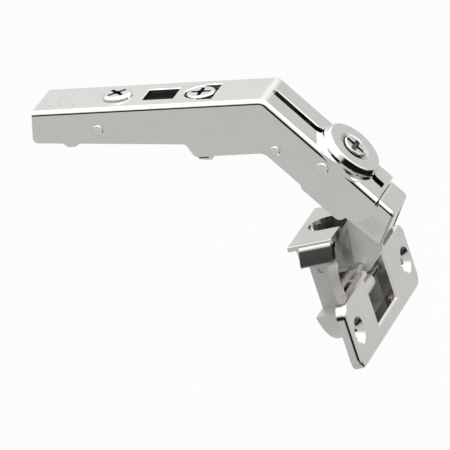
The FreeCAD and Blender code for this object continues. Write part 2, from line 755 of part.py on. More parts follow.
def front_rim(start, end, half):
    """Picker for the edges round an opening in the top of the front section."""

    def wanted(edge):
        spot = middle(edge)
        run = spot.x - size.arm_rear_length.value
        along = run * cosine(size.bend_angle).value - spot.z * sine(size.bend_angle).value
        rise = run * sine(size.bend_angle).value + spot.z * cosine(size.bend_angle).value
        inside = start.value - 0.01 < along < end.value + 0.01 and abs(spot.y) < half.value + 0.01
        return inside and abs(rise) < 0.01

    return wanted


# openings in the top of the front section, on a plane turned with it
SLOT_HALF = size.slot_width / 2
drawing = sketch(arm, "XY_Plane", turn=size.bend_angle, shift=size.arm_rear_length)
slot(drawing, size.slot_start + SLOT_HALF, size.slot_end - SLOT_HALF, SLOT_HALF)
pocket(arm, drawing, 3)
soften(arm, size.lip_round, front_rim(size.slot_start, size.slot_end, SLOT_HALF))
drawing = sketch(arm, "XY_Plane", turn=size.bend_angle, shift=size.arm_rear_length)
block(drawing, NOTCH_END - size.notch_length, NOTCH_END, -size.notch_width / 2, size.notch_width / 2)
pocket(arm, drawing, 4)

# the flared foot is trimmed where it would pass the side walls
for side in (1, -1):
    drawing = sketch(arm, "XY_Plane", turn=size.bend_angle, shift=size.arm_rear_length)
    near = side * KNUCKLE_HALF
    far = side * (KNUCKLE_HALF + 6)
    low, high = (near, far) if side > 0 else (far, near)
    block(drawing, KNUCKLE_PLACE - 12, KNUCKLE_PLACE + 12, low, high)
    pocket(arm, drawing, 8)

# rivet holes
bore(arm, (size.guide_place, -size.guide_depth), size.guide_radius + size.press, 40)
bore(arm, front(size.pivot_place, size.pivot_depth), size.pivot_radius + size.press, 40)
bore(arm, front(STOP_PLACE, size.stop_depth), size.stop_radius + size.press, 40)

# grip ribs across the rear end
for count in range(3):
    across = size.grip_first + count * size.grip_pitch
    disc(
        drawing := sketch(arm, "XZ_Plane"),
        (across, size.grip_height - size.grip_radius), size.grip_radius,
    )
    pad(arm, drawing, size.grip_length)


# Clip adapter: the inner channel that sits on the mounting plate and hooks on its front.

ADAPTER_HALF = size.arm_half_width - size.arm_wall - size.side_gap
ADAPTER_TOP = -(size.arm_wall + size.slide_gap)
ADAPTER_UNDER = ADAPTER_TOP - size.adapter_wall
HOOK_END = size.hook_start + size.hook_length

adapter = body("clip_adapter")
hook_low = (size.hook_start + 0.9, -size.hook_depth + 0.3)
hook_tip = (HOOK_END - 1.2, -size.hook_depth)
hook_nose = (HOOK_END, -size.bend_depth)
outline(drawing := sketch(adapter, "XZ_Plane"), [
    (size.adapter_start, ADAPTER_TOP), (size.adapter_start, -size.adapter_depth + 1.5),
    (size.latch_pivot_place + 4, -size.adapter_depth - 0.8), (size.step_place - 1.5, -size.step_depth + 1.2),
    (size.hook_start, -size.bend_depth + 0.6), hook_low, hook_tip, hook_nose,
    (size.adapter_end, -size.step_depth), (size.adapter_end, ADAPTER_TOP),
])
pad(adapter, drawing, 2 * ADAPTER_HALF)
soften(adapter, 0.8, cross_edge_at([hook_low, hook_tip, hook_nose]))
soften(adapter, size.adapter_wall * 0.9, long_edge_at(ADAPTER_HALF, ADAPTER_TOP))
block(
    drawing := sketch(adapter, "XZ_Plane"),
    size.adapter_start - 5, size.adapter_end + 5, -30, ADAPTER_UNDER,
)
pocket(adapter, drawing, 2 * (ADAPTER_HALF - size.adapter_wall))

# drawn boss with the thread for the lock screw
drawing = sketch(adapter, "XY_Plane", lift=ADAPTER_UNDER)
disc(drawing, (size.lock_place, 0), size.lock_boss_radius)
pad(adapter, drawing, size.lock_boss_depth, both=False, back=True)
bore(adapter, (size.lock_place, 0), size.lock_shank_radius + size.fit, 12, "XY_Plane")
block(
    drawing := sketch(adapter, "XY_Plane"),
    size.window_place - 1.2, size.window_place + size.window_length + 1.2,
    -size.window_width / 2 - 0.6, size.window_width / 2 + 0.6,
)
pocket(adapter, drawing, 12)
slot(
    drawing := sketch(adapter, "XY_Plane"),
    size.cam_place - LOCK_SLOT, size.cam_place + LOCK_SLOT, size.cam_neck_radius + size.fit,
)
pocket(adapter, drawing, 12)

# slots for the guide rivets, the slot of each front hook, the latch pin and the follower pin
GUIDE_SLOT = size.depth_travel + 0.1
for across, depth, half_length, half_height in (
    (size.guide_place, size.guide_depth, GUIDE_SLOT, size.guide_radius + size.fit),
    (size.hook_eye_place, size.hook_eye_depth, size.hook_eye_length / 2, size.hook_eye_height / 2),
):
    block(
        drawing := sketch(adapter, "XZ_Plane"),
        across - half_length - half_height, across + half_length + half_height,
        -depth - half_height, -depth + half_height,
    )
    pocket(adapter, drawing, 40)
bore(adapter, (size.latch_pivot_place, -size.latch_pivot_depth), size.latch_pin_radius + size.press, 40)


# Depth cam: a low head in the arm's opening and a journal in the adapter's slot.

CAM_UNDER = ADAPTER_TOP + 0.05
CAM_JOURNAL_END = ADAPTER_UNDER - 0.15
cam = body("depth_cam", (size.cam_place, as_size(0)))
outline(drawing := sketch(cam, "XZ_Plane"), [
    (0, size.cam_rise), (size.cam_radius, size.cam_rise), (size.cam_radius, CAM_UNDER),
    (size.cam_neck_radius, CAM_UNDER), (size.cam_neck_radius, CAM_JOURNAL_END),
    (size.cam_neck_radius - 0.5, CAM_JOURNAL_END), (size.cam_neck_radius - 0.5, CAM_JOURNAL_END - 1.0),
    (0, CAM_JOURNAL_END - 1.0),
])
spin(cam, drawing)
soften(cam, 0.5, lambda edge: abs(middle(edge).z - size.cam_rise.value) < 0.01)
cross_recess(cam, size.cam_rise, size.recess_radius * 1.35, 0)

cam_washer = body("cam_washer", (size.cam_place, as_size(0)))
outline(drawing := sketch(cam_washer, "XZ_Plane"), [
    (size.cam_neck_radius - 0.5 + size.press, CAM_JOURNAL_END), (size.cam_radius, CAM_JOURNAL_END),
    (size.cam_radius, CAM_JOURNAL_END - 0.6), (size.cam_neck_radius - 0.5 + size.press, CAM_JOURNAL_END - 0.6),
])
spin(cam_washer, drawing)


# Lock screw through the arm's slot into the adapter's threaded boss.

lock = body("lock_screw", (size.lock_place, as_size(0)))
LOCK_SEAT = as_size(0.05)
outline(drawing := sketch(lock, "XZ_Plane"), [
    (0, LOCK_SEAT + size.lock_head_height), (size.lock_head_radius - 0.7, LOCK_SEAT + size.lock_head_height),
    (size.lock_head_radius, LOCK_SEAT + size.lock_head_height * 0.45), (size.lock_head_radius, LOCK_SEAT),
    (size.lock_shank_radius, LOCK_SEAT), (size.lock_shank_radius, LOCK_SEAT - size.lock_length),
    (0, LOCK_SEAT - size.lock_length),
])
spin(lock, drawing)
soften(lock, 0.3, lambda edge: isinstance(edge.Curve, Part.Circle)
       and abs(edge.Curve.Radius - size.lock_head_radius.value) < 0.01
       and middle(edge).z > 0.3)
cross_recess(lock, LOCK_SEAT + size.lock_head_height, size.recess_radius * 1.4, 45)


# Rivets of the arm. The guide rivets are a pair of short studs, so the channel stays open.

WALL_OUT = size.arm_half_width
ADAPTER_INSIDE = ADAPTER_HALF - size.adapter_wall


def studs(name, point, shank, head, rise, inner):
    """Pair of short headed studs, one in each side wall, that reach in to the inner size."""
    piece = body(name, point)
    for side in (1, -1):
        for radius, length, inwards in ((head, rise, False), (shank, WALL_OUT - inner, True)):
            disc(drawing := sketch(piece, "XZ_Plane", lift=side * WALL_OUT), (0, 0), radius)
            pad(piece, drawing, length, both=False, back=(side < 0) != inwards)
    soften(piece, rise * 0.6, lambda edge: abs(abs(middle(edge).y) - (WALL_OUT + rise).value) < 0.01,
           "PartDesign::Chamfer")


studs("guide_rivets", (size.guide_place, -size.guide_depth), size.guide_radius,
      size.guide_head_radius, size.rivet_rise, ADAPTER_INSIDE + 0.1)
studs("stop_rivets", front(STOP_PLACE, size.stop_depth), size.stop_radius,
      size.stop_head_radius, size.rivet_rise, ADAPTER_INSIDE + 0.1)
rivet("carrier_pivot", front(size.pivot_place, size.pivot_depth), size.pivot_radius,
      size.pivot_head_radius, WALL_OUT, size.rivet_rise)

CARRIER_HALF = size.arm_half_width - size.arm_wall - size.side_gap
CARRIER_INSIDE = CARRIER_HALF - size.carrier_wall
sleeve = body("pivot_sleeve", front(size.pivot_place, size.pivot_depth))
disc(drawing := sketch(sleeve, "XZ_Plane"), (0, 0), size.pivot_radius + size.fit + size.sleeve_wall)
disc(drawing, (0, 0), size.pivot_radius + size.fit)
pad(sleeve, drawing, 2 * (CARRIER_INSIDE - 0.05))


# Side adjusting screw: its shank turns in the knuckle's collar, its waist holds the carrier.

knuckle_top = front(KNUCKLE_PLACE, 0)
DISH = size.knuckle_height - size.dish_depth
WAIST_TOP = -(size.carrier_low - size.stop_play)
WAIST_FOOT = -(size.carrier_low + size.carrier_wall + size.stop_play)
side_screw = body("side_screw", knuckle_top, size.bend_angle)
outline(drawing := sketch(side_screw, "XZ_Plane"), [
    (0, DISH + size.side_head_height), (size.side_head_radius - 0.15, DISH + size.side_head_height),
    (size.side_head_radius, DISH + size.side_head_height - 0.15),
    (size.side_head_radius, DISH + 0.05), (size.side_shank_radius, DISH + 0.05),
    (size.side_shank_radius, WAIST_TOP), (size.side_neck_radius, WAIST_TOP),
    (size.side_neck_radius, WAIST_FOOT), (size.side_foot_radius, WAIST_FOOT),
    (size.side_foot_radius, WAIST_FOOT - size.side_foot_height), (0, WAIST_FOOT - size.side_foot_height),
])
spin(side_screw, drawing)
cross_recess(side_screw, DISH + size.side_head_height, size.recess_radius, 0)


# Carrier: the inner channel of the front section, in a frame on the bend with x along the
# top of the front section and z square to it, outwards.

BEND = (size.arm_rear_length, as_size(0))
carrier = body("carrier", BEND, size.bend_angle)
nose_corner = (CARRIER_END, -size.carrier_high)
nose_foot = (NOSE_REACH, -size.nose_depth)
belly = (BELLY_PLACE, -size.carrier_belly)
tail_low = size.pivot_depth + size.carrier_tail_radius
joggle_low = (JOGGLE_PLACE, -size.carrier_low)
joggle_high = (JOGGLE_PLACE, -size.carrier_high)
outline(drawing := sketch(carrier, "XZ_Plane"), [
    (size.carrier_start, -size.carrier_low), joggle_low, joggle_high, nose_corner, nose_foot,
    belly, (size.pivot_place, -tail_low + 0.6), (size.pivot_place, -(size.pivot_depth - size.carrier_tail_radius)),
])
pad(carrier, drawing, 2 * CARRIER_HALF)
disc(drawing := sketch(carrier, "XZ_Plane"), (size.pivot_place, -size.pivot_depth), size.carrier_tail_radius)
pad(carrier, drawing, 2 * CARRIER_HALF)
soften(carrier, size.carrier_bend, cross_edge_at([nose_corner]))
soften(carrier, 0.5, cross_edge_at([joggle_high]))
soften(carrier, 0.9, lambda edge: abs(abs(middle(edge).y) - CARRIER_HALF.value) < 0.01
       and heading(edge).y < 0.1
       and middle(edge).x > JOGGLE_PLACE.value + 0.05
       and (abs(middle(edge).z + size.carrier_high.value) < 1.0 or middle(edge).x > CARRIER_END.value))

# hollow under the low top, under the high top, and behind the nose
NOSE_LEAN = (NOSE_REACH - CARRIER_END) / (size.nose_depth - size.carrier_high)
INSIDE_TOP = -(size.carrier_high + size.carrier_wall)
outline(drawing := sketch(carrier, "XZ_Plane"), [
    (0, -(size.carrier_low + size.carrier_wall)),
    (JOGGLE_PLACE + size.carrier_wall, -(size.carrier_low + size.carrier_wall)),
    (JOGGLE_PLACE + size.carrier_wall, INSIDE_TOP),
    (CARRIER_END - size.carrier_wall, INSIDE_TOP),
    (CARRIER_END - size.carrier_wall + 12 * NOSE_LEAN, INSIDE_TOP - 12),
    (0, INSIDE_TOP - 30),
])
pocket(carrier, drawing, 2 * CARRIER_INSIDE)

# keyhole for the screw's waist, room round the stop rivet, and the pin holes
KEY_HALF = size.side_neck_radius + 0.25
drawing = sketch(carrier, "XY_Plane")
slot(drawing, KNUCKLE_PLACE - 4.5, KNUCKLE_PLACE + 0.3, KEY_HALF)
pocket(carrier, drawing, 2 * (size.carrier_low + size.carrier_wall + 0.5))
bore(carrier, (KNUCKLE_PLACE - 4.5, 0), size.side_foot_radius + 0.3,
     2 * (size.carrier_low + size.carrier_wall + 0.5), "XY_Plane")
STOP_HOLE = size.stop_radius + size.stop_play
SLIT_NEAR = CARRIER_INSIDE - 0.2 - size.link_wall - 0.2
for side in (1, -1):
    drawing = sketch(carrier, "XZ_Plane", lift=side * (CARRIER_HALF + 0.5))
    disc(drawing, (STOP_PLACE, -size.stop_depth), STOP_HOLE)
    pocket(carrier, drawing, size.carrier_wall + 0.7, both=False, back=side < 0)
bore(carrier, (size.pivot_place, -size.pivot_depth), size.pivot_radius + size.fit, 40)
PIN_HALF = CARRIER_HALF - size.pin_skin
for across, depth in (
    (OUTER_PIN_PLACE, size.outer_pin_depth), (INNER_PIN_PLACE, size.inner_pin_depth),
):
    bore(carrier, (across, -depth), size.link_pin_radius + size.press, 2 * PIN_HALF)

# the nose plate lies a little behind the ends of the side walls
PLATE_TOP = size.carrier_high + size.carrier_bend + 0.4
PLATE_LOW = size.nose_depth + 2
plate_top = CARRIER_END + (PLATE_TOP - size.carrier_high) * NOSE_LEAN
plate_low = CARRIER_END + (PLATE_LOW - size.carrier_high) * NOSE_LEAN
outline(drawing := sketch(carrier, "XZ_Plane"), [
    (plate_top - size.nose_set, -PLATE_TOP), (plate_top + 2, -PLATE_TOP),
    (plate_low + 2, -PLATE_LOW), (plate_low - size.nose_set, -PLATE_LOW),
])
pocket(carrier, drawing, 2 * CARRIER_INSIDE)

# slits in the nose that let the outer link's walls through as the door opens
for side in (1, -1):
    low, high = (SLIT_NEAR, CARRIER_INSIDE) if side > 0 else (-CARRIER_INSIDE, -SLIT_NEAR)
    drawing = sketch(carrier, "YZ_Plane", lift=CARRIER_END - size.carrier_wall - 0.5)
    block(drawing, low, high, -14, -size.slit_top)
    pocket(carrier, drawing, 8, both=False, back=True)

plain_pin("outer_link_pin", OUTER_PIN, size.link_pin_radius, PIN_HALF - 0.05)
plain_pin("inner_link_pin", INNER_PIN, size.link_pin_radius, PIN_HALF - 0.05)


# Outer link: a narrow channel. Its frame lies on its carrier pin, x towards its cup pin,
# z towards its web.

OUTER_HALF = CARRIER_INSIDE - 0.2
EYE_BORE = size.link_pin_radius + size.fit
EYE_RADIUS = EYE_BORE + size.link_wall
WEB_LOW = EYE_RADIUS + size.web_lean
WEB_DROP = (size.web_out - WEB_LOW) / (size.outer_length - size.web_start)
WEB_SKEW = size.link_wall * root(1 + WEB_DROP * WEB_DROP)
outer_link = body("outer_link", OUTER_PIN, size.outer_angle)
outline(drawing := sketch(outer_link, "XZ_Plane"), [
    (-2.0, -1.8), (-2.0, 1.4), (-0.6, 2.3), (size.web_start, size.web_out),
    (size.outer_length, WEB_LOW), (size.outer_length + 1.0, 0),
    (size.outer_length - 0.3, -EYE_RADIUS), (1.6, -size.link_tail + 0.6), (-0.6, -size.link_tail),
])
pad(outer_link, drawing, 2 * OUTER_HALF)
outline(drawing := sketch(outer_link, "XZ_Plane"), [
    (-8, -12), (size.outer_length + 4, -12),
    (size.outer_length + 4, WEB_LOW - WEB_SKEW - 4 * WEB_DROP),
    (size.web_start, size.web_out - WEB_SKEW), (size.web_start - 0.3, size.web_out + 2),
    (-8, size.web_out + 2),
])
pocket(outer_link, drawing, 2 * (OUTER_HALF - size.link_wall))
disc(drawing := sketch(outer_link, "XZ_Plane"), (size.outer_length, 0), EYE_RADIUS)
pad(outer_link, drawing, 2 * OUTER_HALF)
bore(outer_link, (0, 0), EYE_BORE, 40)
bore(outer_link, (size.outer_length, 0), EYE_BORE, 40)


# Inner link: a bowed lever with an eye at each end, so that it clears the outer cup pin.

inner_link = body("inner_link", INNER_PIN, INNER_ANGLE)
INNER_EYE = size.link_pin_radius + size.fit + size.inner_eye_wall
CUP_EYE_BORE = size.link_pin_radius + size.inner_play
CUP_EYE = CUP_EYE_BORE + size.inner_eye_wall
ARC_RADIUS = (INNER_LENGTH * INNER_LENGTH / 4 + size.inner_sag * size.inner_sag) / (2 * size.inner_sag)
ARC_CENTRE = (INNER_LENGTH / 2, ARC_RADIUS - size.inner_sag)
for centre, radius in (((0, 0), INNER_EYE), ((INNER_LENGTH, 0), CUP_EYE)):
    disc(drawing := sketch(inner_link, "XZ_Plane"), centre, radius)
    pad(inner_link, drawing, 2 * size.inner_half_width)


def bow(drawing):
    """Curved strap between the eyes, as two concentric arcs closed by straight ends."""
    half_turn = math.asin(INNER_LENGTH.value / 2 / ARC_RADIUS.value)
    centre = Vector(ARC_CENTRE[0].value, ARC_CENTRE[1].value, 0)
    half = size.inner_thickness / 2
    ends = []
    for radius in (ARC_RADIUS - half, ARC_RADIUS + half):
        circle = Part.Circle(centre, Vector(0, 0, 1), radius.value)
        arc = Part.ArcOfCircle(circle, -math.pi / 2 - half_turn, -math.pi / 2 + half_turn)
        index = drawing.addGeometry(arc)
        tie(drawing, index, 3, *ARC_CENTRE)
        share = radius / ARC_RADIUS
        height = ARC_CENTRE[1] - (ARC_RADIUS - size.inner_sag) * share
        tie(drawing, index, 1, INNER_LENGTH / 2 * (1 - share), height)
        ends.append(index)
    first, second = ends
    for point in (1, 2):
        start = drawing.getPoint(first, point)
        finish = drawing.getPoint(second, point)
        line = drawing.addGeometry(Part.LineSegment(start, finish))
        drawing.addConstraint(Sketcher.Constraint("Coincident", line, 1, first, point))
        drawing.addConstraint(Sketcher.Constraint("Coincident", line, 2, second, point))
    for index, radius in zip(ends, (ARC_RADIUS - half, ARC_RADIUS + half)):
        hold(drawing, "DistanceX", index, 2, INNER_LENGTH / 2 * (1 + radius / ARC_RADIUS))
    return drawing


pad(inner_link, bow(sketch(inner_link, "XZ_Plane")), 2 * size.inner_half_width)
bore(inner_link, (0, 0), size.link_pin_radius + size.fit, 40)
bore(inner_link, (INNER_LENGTH, 0), CUP_EYE_BORE, 40)


# Cup: one casting. Its frame lies on the middle of the flange's upper edge, at the front:
# x runs down the door, z out of the mouth.

CUP_TURN = 90 - size.flange_tilt
cup = body("cup", CUP_PLACE, CUP_TURN)
FLANGE_HALF = size.flange_length / 2
END_WALL = size.cup_centre - size.end_wall_reach

# round body, with its sides cut flat beside the mouth, and the thin rim on top of it
SIDE_FACE = size.mouth_half_width + size.side_shell
drawing = sketch(cup, "XY_Plane", lift=-size.cup_depth)
disc(drawing, (size.cup_centre, 0), size.cup_radius)
pad(cup, drawing, size.cup_depth - size.body_drop, both=False)
for side in (1, -1):
    near = side * SIDE_FACE
    far = side * 22
    low, high = (near, far) if side > 0 else (far, near)
    drawing = sketch(cup, "XY_Plane")
    block(drawing, size.side_cut_start, size.side_cut_end, low, high)
    pocket(cup, drawing, 30, both=False)
drawing = sketch(cup, "XY_Plane", lift=-size.rim_drop)
disc(drawing, (size.cup_centre, 0), size.rim_radius)
pad(cup, drawing, size.rim_thickness, both=False, back=True)
block(drawing := sketch(cup, "XY_Plane"), END_WALL - 10, END_WALL + size.end_wall / 2, -20, 20)
pocket(cup, drawing, 60)
for side in (1, -1):
    drawing = sketch(cup, "XZ_Plane", lift=side * SIDE_FACE)
    disc(drawing, (size.mark_drop, -size.mark_depth), size.mark_radius)
    pocket(cup, drawing, 0.3, both=False, back=side < 0)

# flat end wall, deeper than the cup, with the block that stiffens it
drawing = sketch(cup, "XY_Plane", lift=-size.rim_drop)
block(drawing, END_WALL, END_WALL + size.end_wall, -size.end_wall_half, size.end_wall_half)
pad(cup, drawing, size.end_wall_depth - size.rim_drop, both=False, back=True)
soften(cup, size.end_wall_round, lambda edge: abs(middle(edge).x - END_WALL.value) < 0.01)
drawing = sketch(cup, "XY_Plane", lift=-(size.rim_drop + 0.5))
block(drawing, END_WALL + size.end_wall / 2, END_WALL + 5.2, -SIDE_FACE, SIDE_FACE)
pad(cup, drawing, size.end_wall_depth - size.rim_drop - 1.5, both=False, back=True)

# flange, and the neck that joins it to the body
drawing = sketch(cup, "XY_Plane")
block(drawing, 0, size.flange_height, -FLANGE_HALF, FLANGE_HALF)
pad(cup, drawing, size.flange_thickness, both=False, back=True)
soften(cup, size.flange_corner, lambda edge: heading(edge).z > 0.99
       and abs(abs(middle(edge).y) - FLANGE_HALF.value) < 0.01)
soften(cup, size.flange_edge, lambda edge: abs(middle(edge).z) < 0.01)
drawing = sketch(cup, "XY_Plane", lift=-size.flange_thickness)
block(drawing, 0, size.flange_height - 3, -SIDE_FACE, SIDE_FACE)
pad(cup, drawing, size.rim_drop, both=False, back=True)

# mouth through the flange, with rounded lower corners and a bevelled edge, then the hollow
drawing = sketch(cup, "XY_Plane")
block(drawing, -1, size.mouth_reach, -size.mouth_half_width, size.mouth_half_width)
pocket(cup, drawing, size.cup_depth - size.cup_floor, both=False)
soften(cup, size.mouth_corner, lambda edge: heading(edge).z > 0.99
       and abs(middle(edge).x - size.mouth_reach.value) < 0.01
       and abs(abs(middle(edge).y) - size.mouth_half_width.value) < 0.01)
drawing = sketch(cup, "XY_Plane")
block(drawing, -1, size.mouth_reach + size.mouth_bevel,
      -size.mouth_half_width - size.mouth_bevel, size.mouth_half_width + size.mouth_bevel)
feature = pocket(cup, drawing, size.mouth_bevel, both=False)
feature.TaperAngle = -45
doc.recompute()
drawing = sketch(cup, "XY_Plane", lift=-size.mouth_lip)
block(drawing, END_WALL + size.end_wall, size.mouth_reach, -size.hollow_half_width, size.hollow_half_width)
pocket(cup, drawing, size.cup_depth - size.cup_floor - size.mouth_lip, both=False)

# arched notch in the end wall
drawing = sketch(cup, "YZ_Plane", lift=END_WALL)
block(drawing, -size.arch_half_width, size.arch_half_width,
      -size.arch_depth + size.arch_half_width, 0)
pocket(cup, drawing, 2 * size.end_wall)
drawing = sketch(cup, "YZ_Plane", lift=END_WALL)
disc(drawing, (0, -size.arch_depth + size.arch_half_width), size.arch_half_width)
pocket(cup, drawing, 2 * size.end_wall)

# lugs for the outer cup pin, one each side of the mouth
for side in (1, -1):
    drawing = sketch(cup, "XZ_Plane", lift=-side * size.lug_half)
    length = size.mouth_half_width - size.lug_half + 0.5
    disc(drawing, (size.cup_pin_drop, -size.cup_pin_depth), size.lug_radius)
    pad(cup, drawing, length, both=False, back=side > 0)
    drawing = sketch(cup, "XZ_Plane", lift=-side * size.lug_half)
    outline(drawing, [
        (size.cup_pin_drop - size.lug_radius, -size.cup_pin_depth),
        (size.cup_pin_drop - size.lug_radius, -size.rim_drop - 2.0), (0.4, -size.rim_drop - 2.0),
        (0.4, 0), (size.cup_pin_drop, 0),
    ])
    pad(cup, drawing, length, both=False, back=side > 0)

# screw holes with countersinks, and the pin bores
for side in (1, -1):
    drawing = sketch(cup, "XY_Plane")
    disc(drawing, (size.hole_line, side * (FLANGE_HALF - size.hole_edge)), size.hole_radius)
    pocket(cup, drawing, 4 * size.flange_thickness)
    drawing = sketch(cup, "XY_Plane")
    disc(drawing, (size.hole_line, side * (FLANGE_HALF - size.hole_edge)), size.sink_radius)
    feature = pocket(cup, drawing, size.sink_radius - size.hole_radius, both=False)
    feature.TaperAngle = -45
    doc.recompute()
bore(cup, (size.cup_pin_drop, -size.cup_pin_depth), size.link_pin_radius + size.press,
     2 * (size.mouth_half_width + 0.4))
bore(cup, (size.deep_pin_drop, -size.deep_pin_depth), size.link_pin_radius + size.press,
     2 * (size.mouth_half_width + 1.0))

plain_pin("outer_cup_pin", CUP_PIN, size.link_pin_radius, size.mouth_half_width + 0.3)
plain_pin("inner_cup_pin", DEEP_PIN, size.link_pin_radius, size.mouth_half_width + 0.9)


# Release latch: a sprung yoke at the rear with two hooks, on a pin in the adapter.

LATCH_HALF = ADAPTER_HALF - size.adapter_wall - 0.3
latch = body("release_latch")
outline(drawing := sketch(latch, "XZ_Plane"), [
    (size.latch_start, -4.3), (size.latch_pivot_place, -3.3), (size.latch_pivot_place + 1.9, -4.6),
    (size.latch_pivot_place + 1.9, -6.6), (11.2, -9.0), (10.0, -10.4), (8.9, -size.latch_depth),
    (7.0, -size.latch_depth), (5.9, -10.0), (5.3, -9.1), (4.6, -9.5), (3.2, -8.2), (size.latch_start, -7.6),
])
pad(latch, drawing, 2 * LATCH_HALF)
block(
    drawing := sketch(latch, "XZ_Plane"),
    size.latch_start + size.latch_wall, size.latch_pivot_place + 6, -20, 0,
)
pocket(latch, drawing, 2 * (LATCH_HALF - size.latch_wall))
bore(latch, (size.latch_pivot_place, -size.latch_pivot_depth), size.latch_pin_radius + size.fit, 40)
block(drawing := sketch(latch, "XZ_Plane"), 7.4, 9.2, -9.9, -9.3)
pocket(latch, drawing, 40)

LATCH_PIVOT = (size.latch_pivot_place, -size.latch_pivot_depth)
plain_pin("latch_pin", LATCH_PIVOT, size.latch_pin_radius, ADAPTER_HALF - 0.05)

# Latch spring: a few turns of wire round the latch pin.

spring_length = size.spring_pitch * size.spring_turns
helix = doc.addObject("Part::Helix", "SpringLine")
wire_section = doc.addObject("Part::RegularPolygon", "SpringWire")
wire_section.Polygon = 8
spring = doc.addObject("Part::Sweep", "latch_spring")
spring.Label = "latch_spring"
for holder, prop, amount in (
    (helix, "Radius", size.spring_radius), (helix, "Pitch", size.spring_pitch),
    (helix, "Height", spring_length), (wire_section, "Circumradius", size.spring_wire),
):
    setattr(holder, prop, amount.value)
    holder.setExpression(prop, amount.text)
wire_section.Placement = Placement(Vector(size.spring_radius.value, 0, 0), Rotation(Vector(1, 0, 0), 90))
wire_section.setExpression("Placement.Base.x", size.spring_radius.text)
spring.Sections = [wire_section]
spring.Spine = (helix, ["Edge1"])
spring.Solid = True
spring.Frenet = True
spring_place = (LATCH_PIVOT[0] - ORIGIN[0], LATCH_PIVOT[1] - ORIGIN[1])
spring.Placement = Placement(
    Vector(spring_place[0].value, spring_length.value / 2, spring_place[1].value), Rotation(Vector(1, 0, 0), 90)
)
spring.setExpression("Placement.Base.x", spring_place[0].text)
spring.setExpression("Placement.Base.y", (spring_length / 2).text)
spring.setExpression("Placement.Base.z", spring_place[1].text)
doc.recompute()


# Check every object, then write one STEP file for each piece.

for item in doc.Objects:
    if "Invalid" in item.State or "Error" in item.State:
        raise RuntimeError("%s (%s) failed" % (item.Name, item.Label))

pieces = [item for item in doc.Objects if item.TypeId == "PartDesign::Body"]
pieces.append(spring)
os.makedirs("parts", exist_ok=True)
for piece in pieces:
    shape = piece.Shape
    if shape.isNull() or not shape.isValid():
        raise RuntimeError("%s has no valid shape" % piece.Label)
    shape.exportStep("parts/%s.step" % piece.Label)
    box = shape.BoundBox
    print("%-16s %d solid, %8.1f mm3, x %6.1f..%6.1f y %6.1f..%6.1f z %6.1f..%6.1f" % (
        piece.Label, len(shape.Solids), shape.Volume,
        box.XMin, box.XMax, box.YMin, box.YMax, box.ZMin, box.ZMax,
    ))
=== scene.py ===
# %% [markdown]
# A concealed cup hinge with an angled clip-on arm
#
# This lesson dresses a finished CAD model of a cabinet hinge. Every metal piece is already
# there with its true shape, so the work left for Blender is light, finish and the small
# marks that tools leave on metal. Only one screw is made anew. The first step loads the
# model, which is all in metres.

# %% Load the hinge
import json
import math
from functools import partial

import bpy
import numpy as np
from mathutils import Matrix, Vector


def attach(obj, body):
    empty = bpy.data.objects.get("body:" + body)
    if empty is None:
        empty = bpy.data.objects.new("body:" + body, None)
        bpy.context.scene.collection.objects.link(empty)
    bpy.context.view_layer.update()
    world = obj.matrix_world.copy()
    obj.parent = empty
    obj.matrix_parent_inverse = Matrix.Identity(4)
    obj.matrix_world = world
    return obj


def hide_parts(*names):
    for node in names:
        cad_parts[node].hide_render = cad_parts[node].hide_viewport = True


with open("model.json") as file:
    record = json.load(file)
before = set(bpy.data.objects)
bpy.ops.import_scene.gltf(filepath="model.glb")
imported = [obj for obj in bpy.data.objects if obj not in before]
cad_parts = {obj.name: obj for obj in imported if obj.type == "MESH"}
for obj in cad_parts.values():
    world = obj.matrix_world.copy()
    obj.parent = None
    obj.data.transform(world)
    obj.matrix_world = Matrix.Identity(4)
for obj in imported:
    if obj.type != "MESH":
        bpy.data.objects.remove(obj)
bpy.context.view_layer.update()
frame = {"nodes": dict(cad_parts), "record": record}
nodes = frame["nodes"]
print("pieces from the CAD model:", len(nodes))

# %% [markdown]
# The camera
#
# A product photograph of a small part is taken from far away with a long lens, so that the
# part keeps its true proportions. The camera's place was worked out from the hinge itself:
# its screw holes are 45 mm apart and its edges are straight, which is enough to fix where
# the lens stood. The fit gave an axis that misses the middle of the image, so the camera is
# turned a little to put it there.

# %% Aim the camera
IMAGE_PIXELS = 450
FOCAL_PIXELS = 6906.0
AXIS_PIXEL = (278.12, 161.99)
EYE = Vector((0.58727, -1.54088, 0.58761))
CAMERA_RIGHT = Vector((0.94948, 0.27024, -0.15955))
CAMERA_UP = Vector((0.04726, 0.37949, 0.92399))
CAMERA_BACK = Vector((0.31025, -0.88485, 0.34754))


def aim_at_centre():
    """Turn the fitted camera so that its axis passes through the middle of the image.

    The ray of the middle pixel is (-f * back + dx * right - dy * up), where dx and dy are
    the pixels from the fitted axis to the middle. It becomes the new axis, and the length
    of that ray is the new focal length in pixels.
    """
    middle = IMAGE_PIXELS / 2
    across = middle - AXIS_PIXEL[0]
    down = middle - AXIS_PIXEL[1]
    ray = across * CAMERA_RIGHT - down * CAMERA_UP - FOCAL_PIXELS * CAMERA_BACK
    back = -ray.normalized()
    right = CAMERA_UP.cross(back).normalized()
    up = back.cross(right)
    turn = Matrix((right, up, back)).transposed().to_4x4()
    return Matrix.Translation(EYE) @ turn, ray.length


camera_matrix, focal_pixels = aim_at_centre()
print("focal length: %.0f pixels" % focal_pixels)

# %% [markdown]
# The lens
#
# Blender wants the focal length in millimetres for a sensor of a given width. The colours
# are shown as they are, without a film curve.

# %% Set the camera
SENSOR_MM = 36.0
CLIP_NEAR = 0.1
CLIP_FAR = 20.0

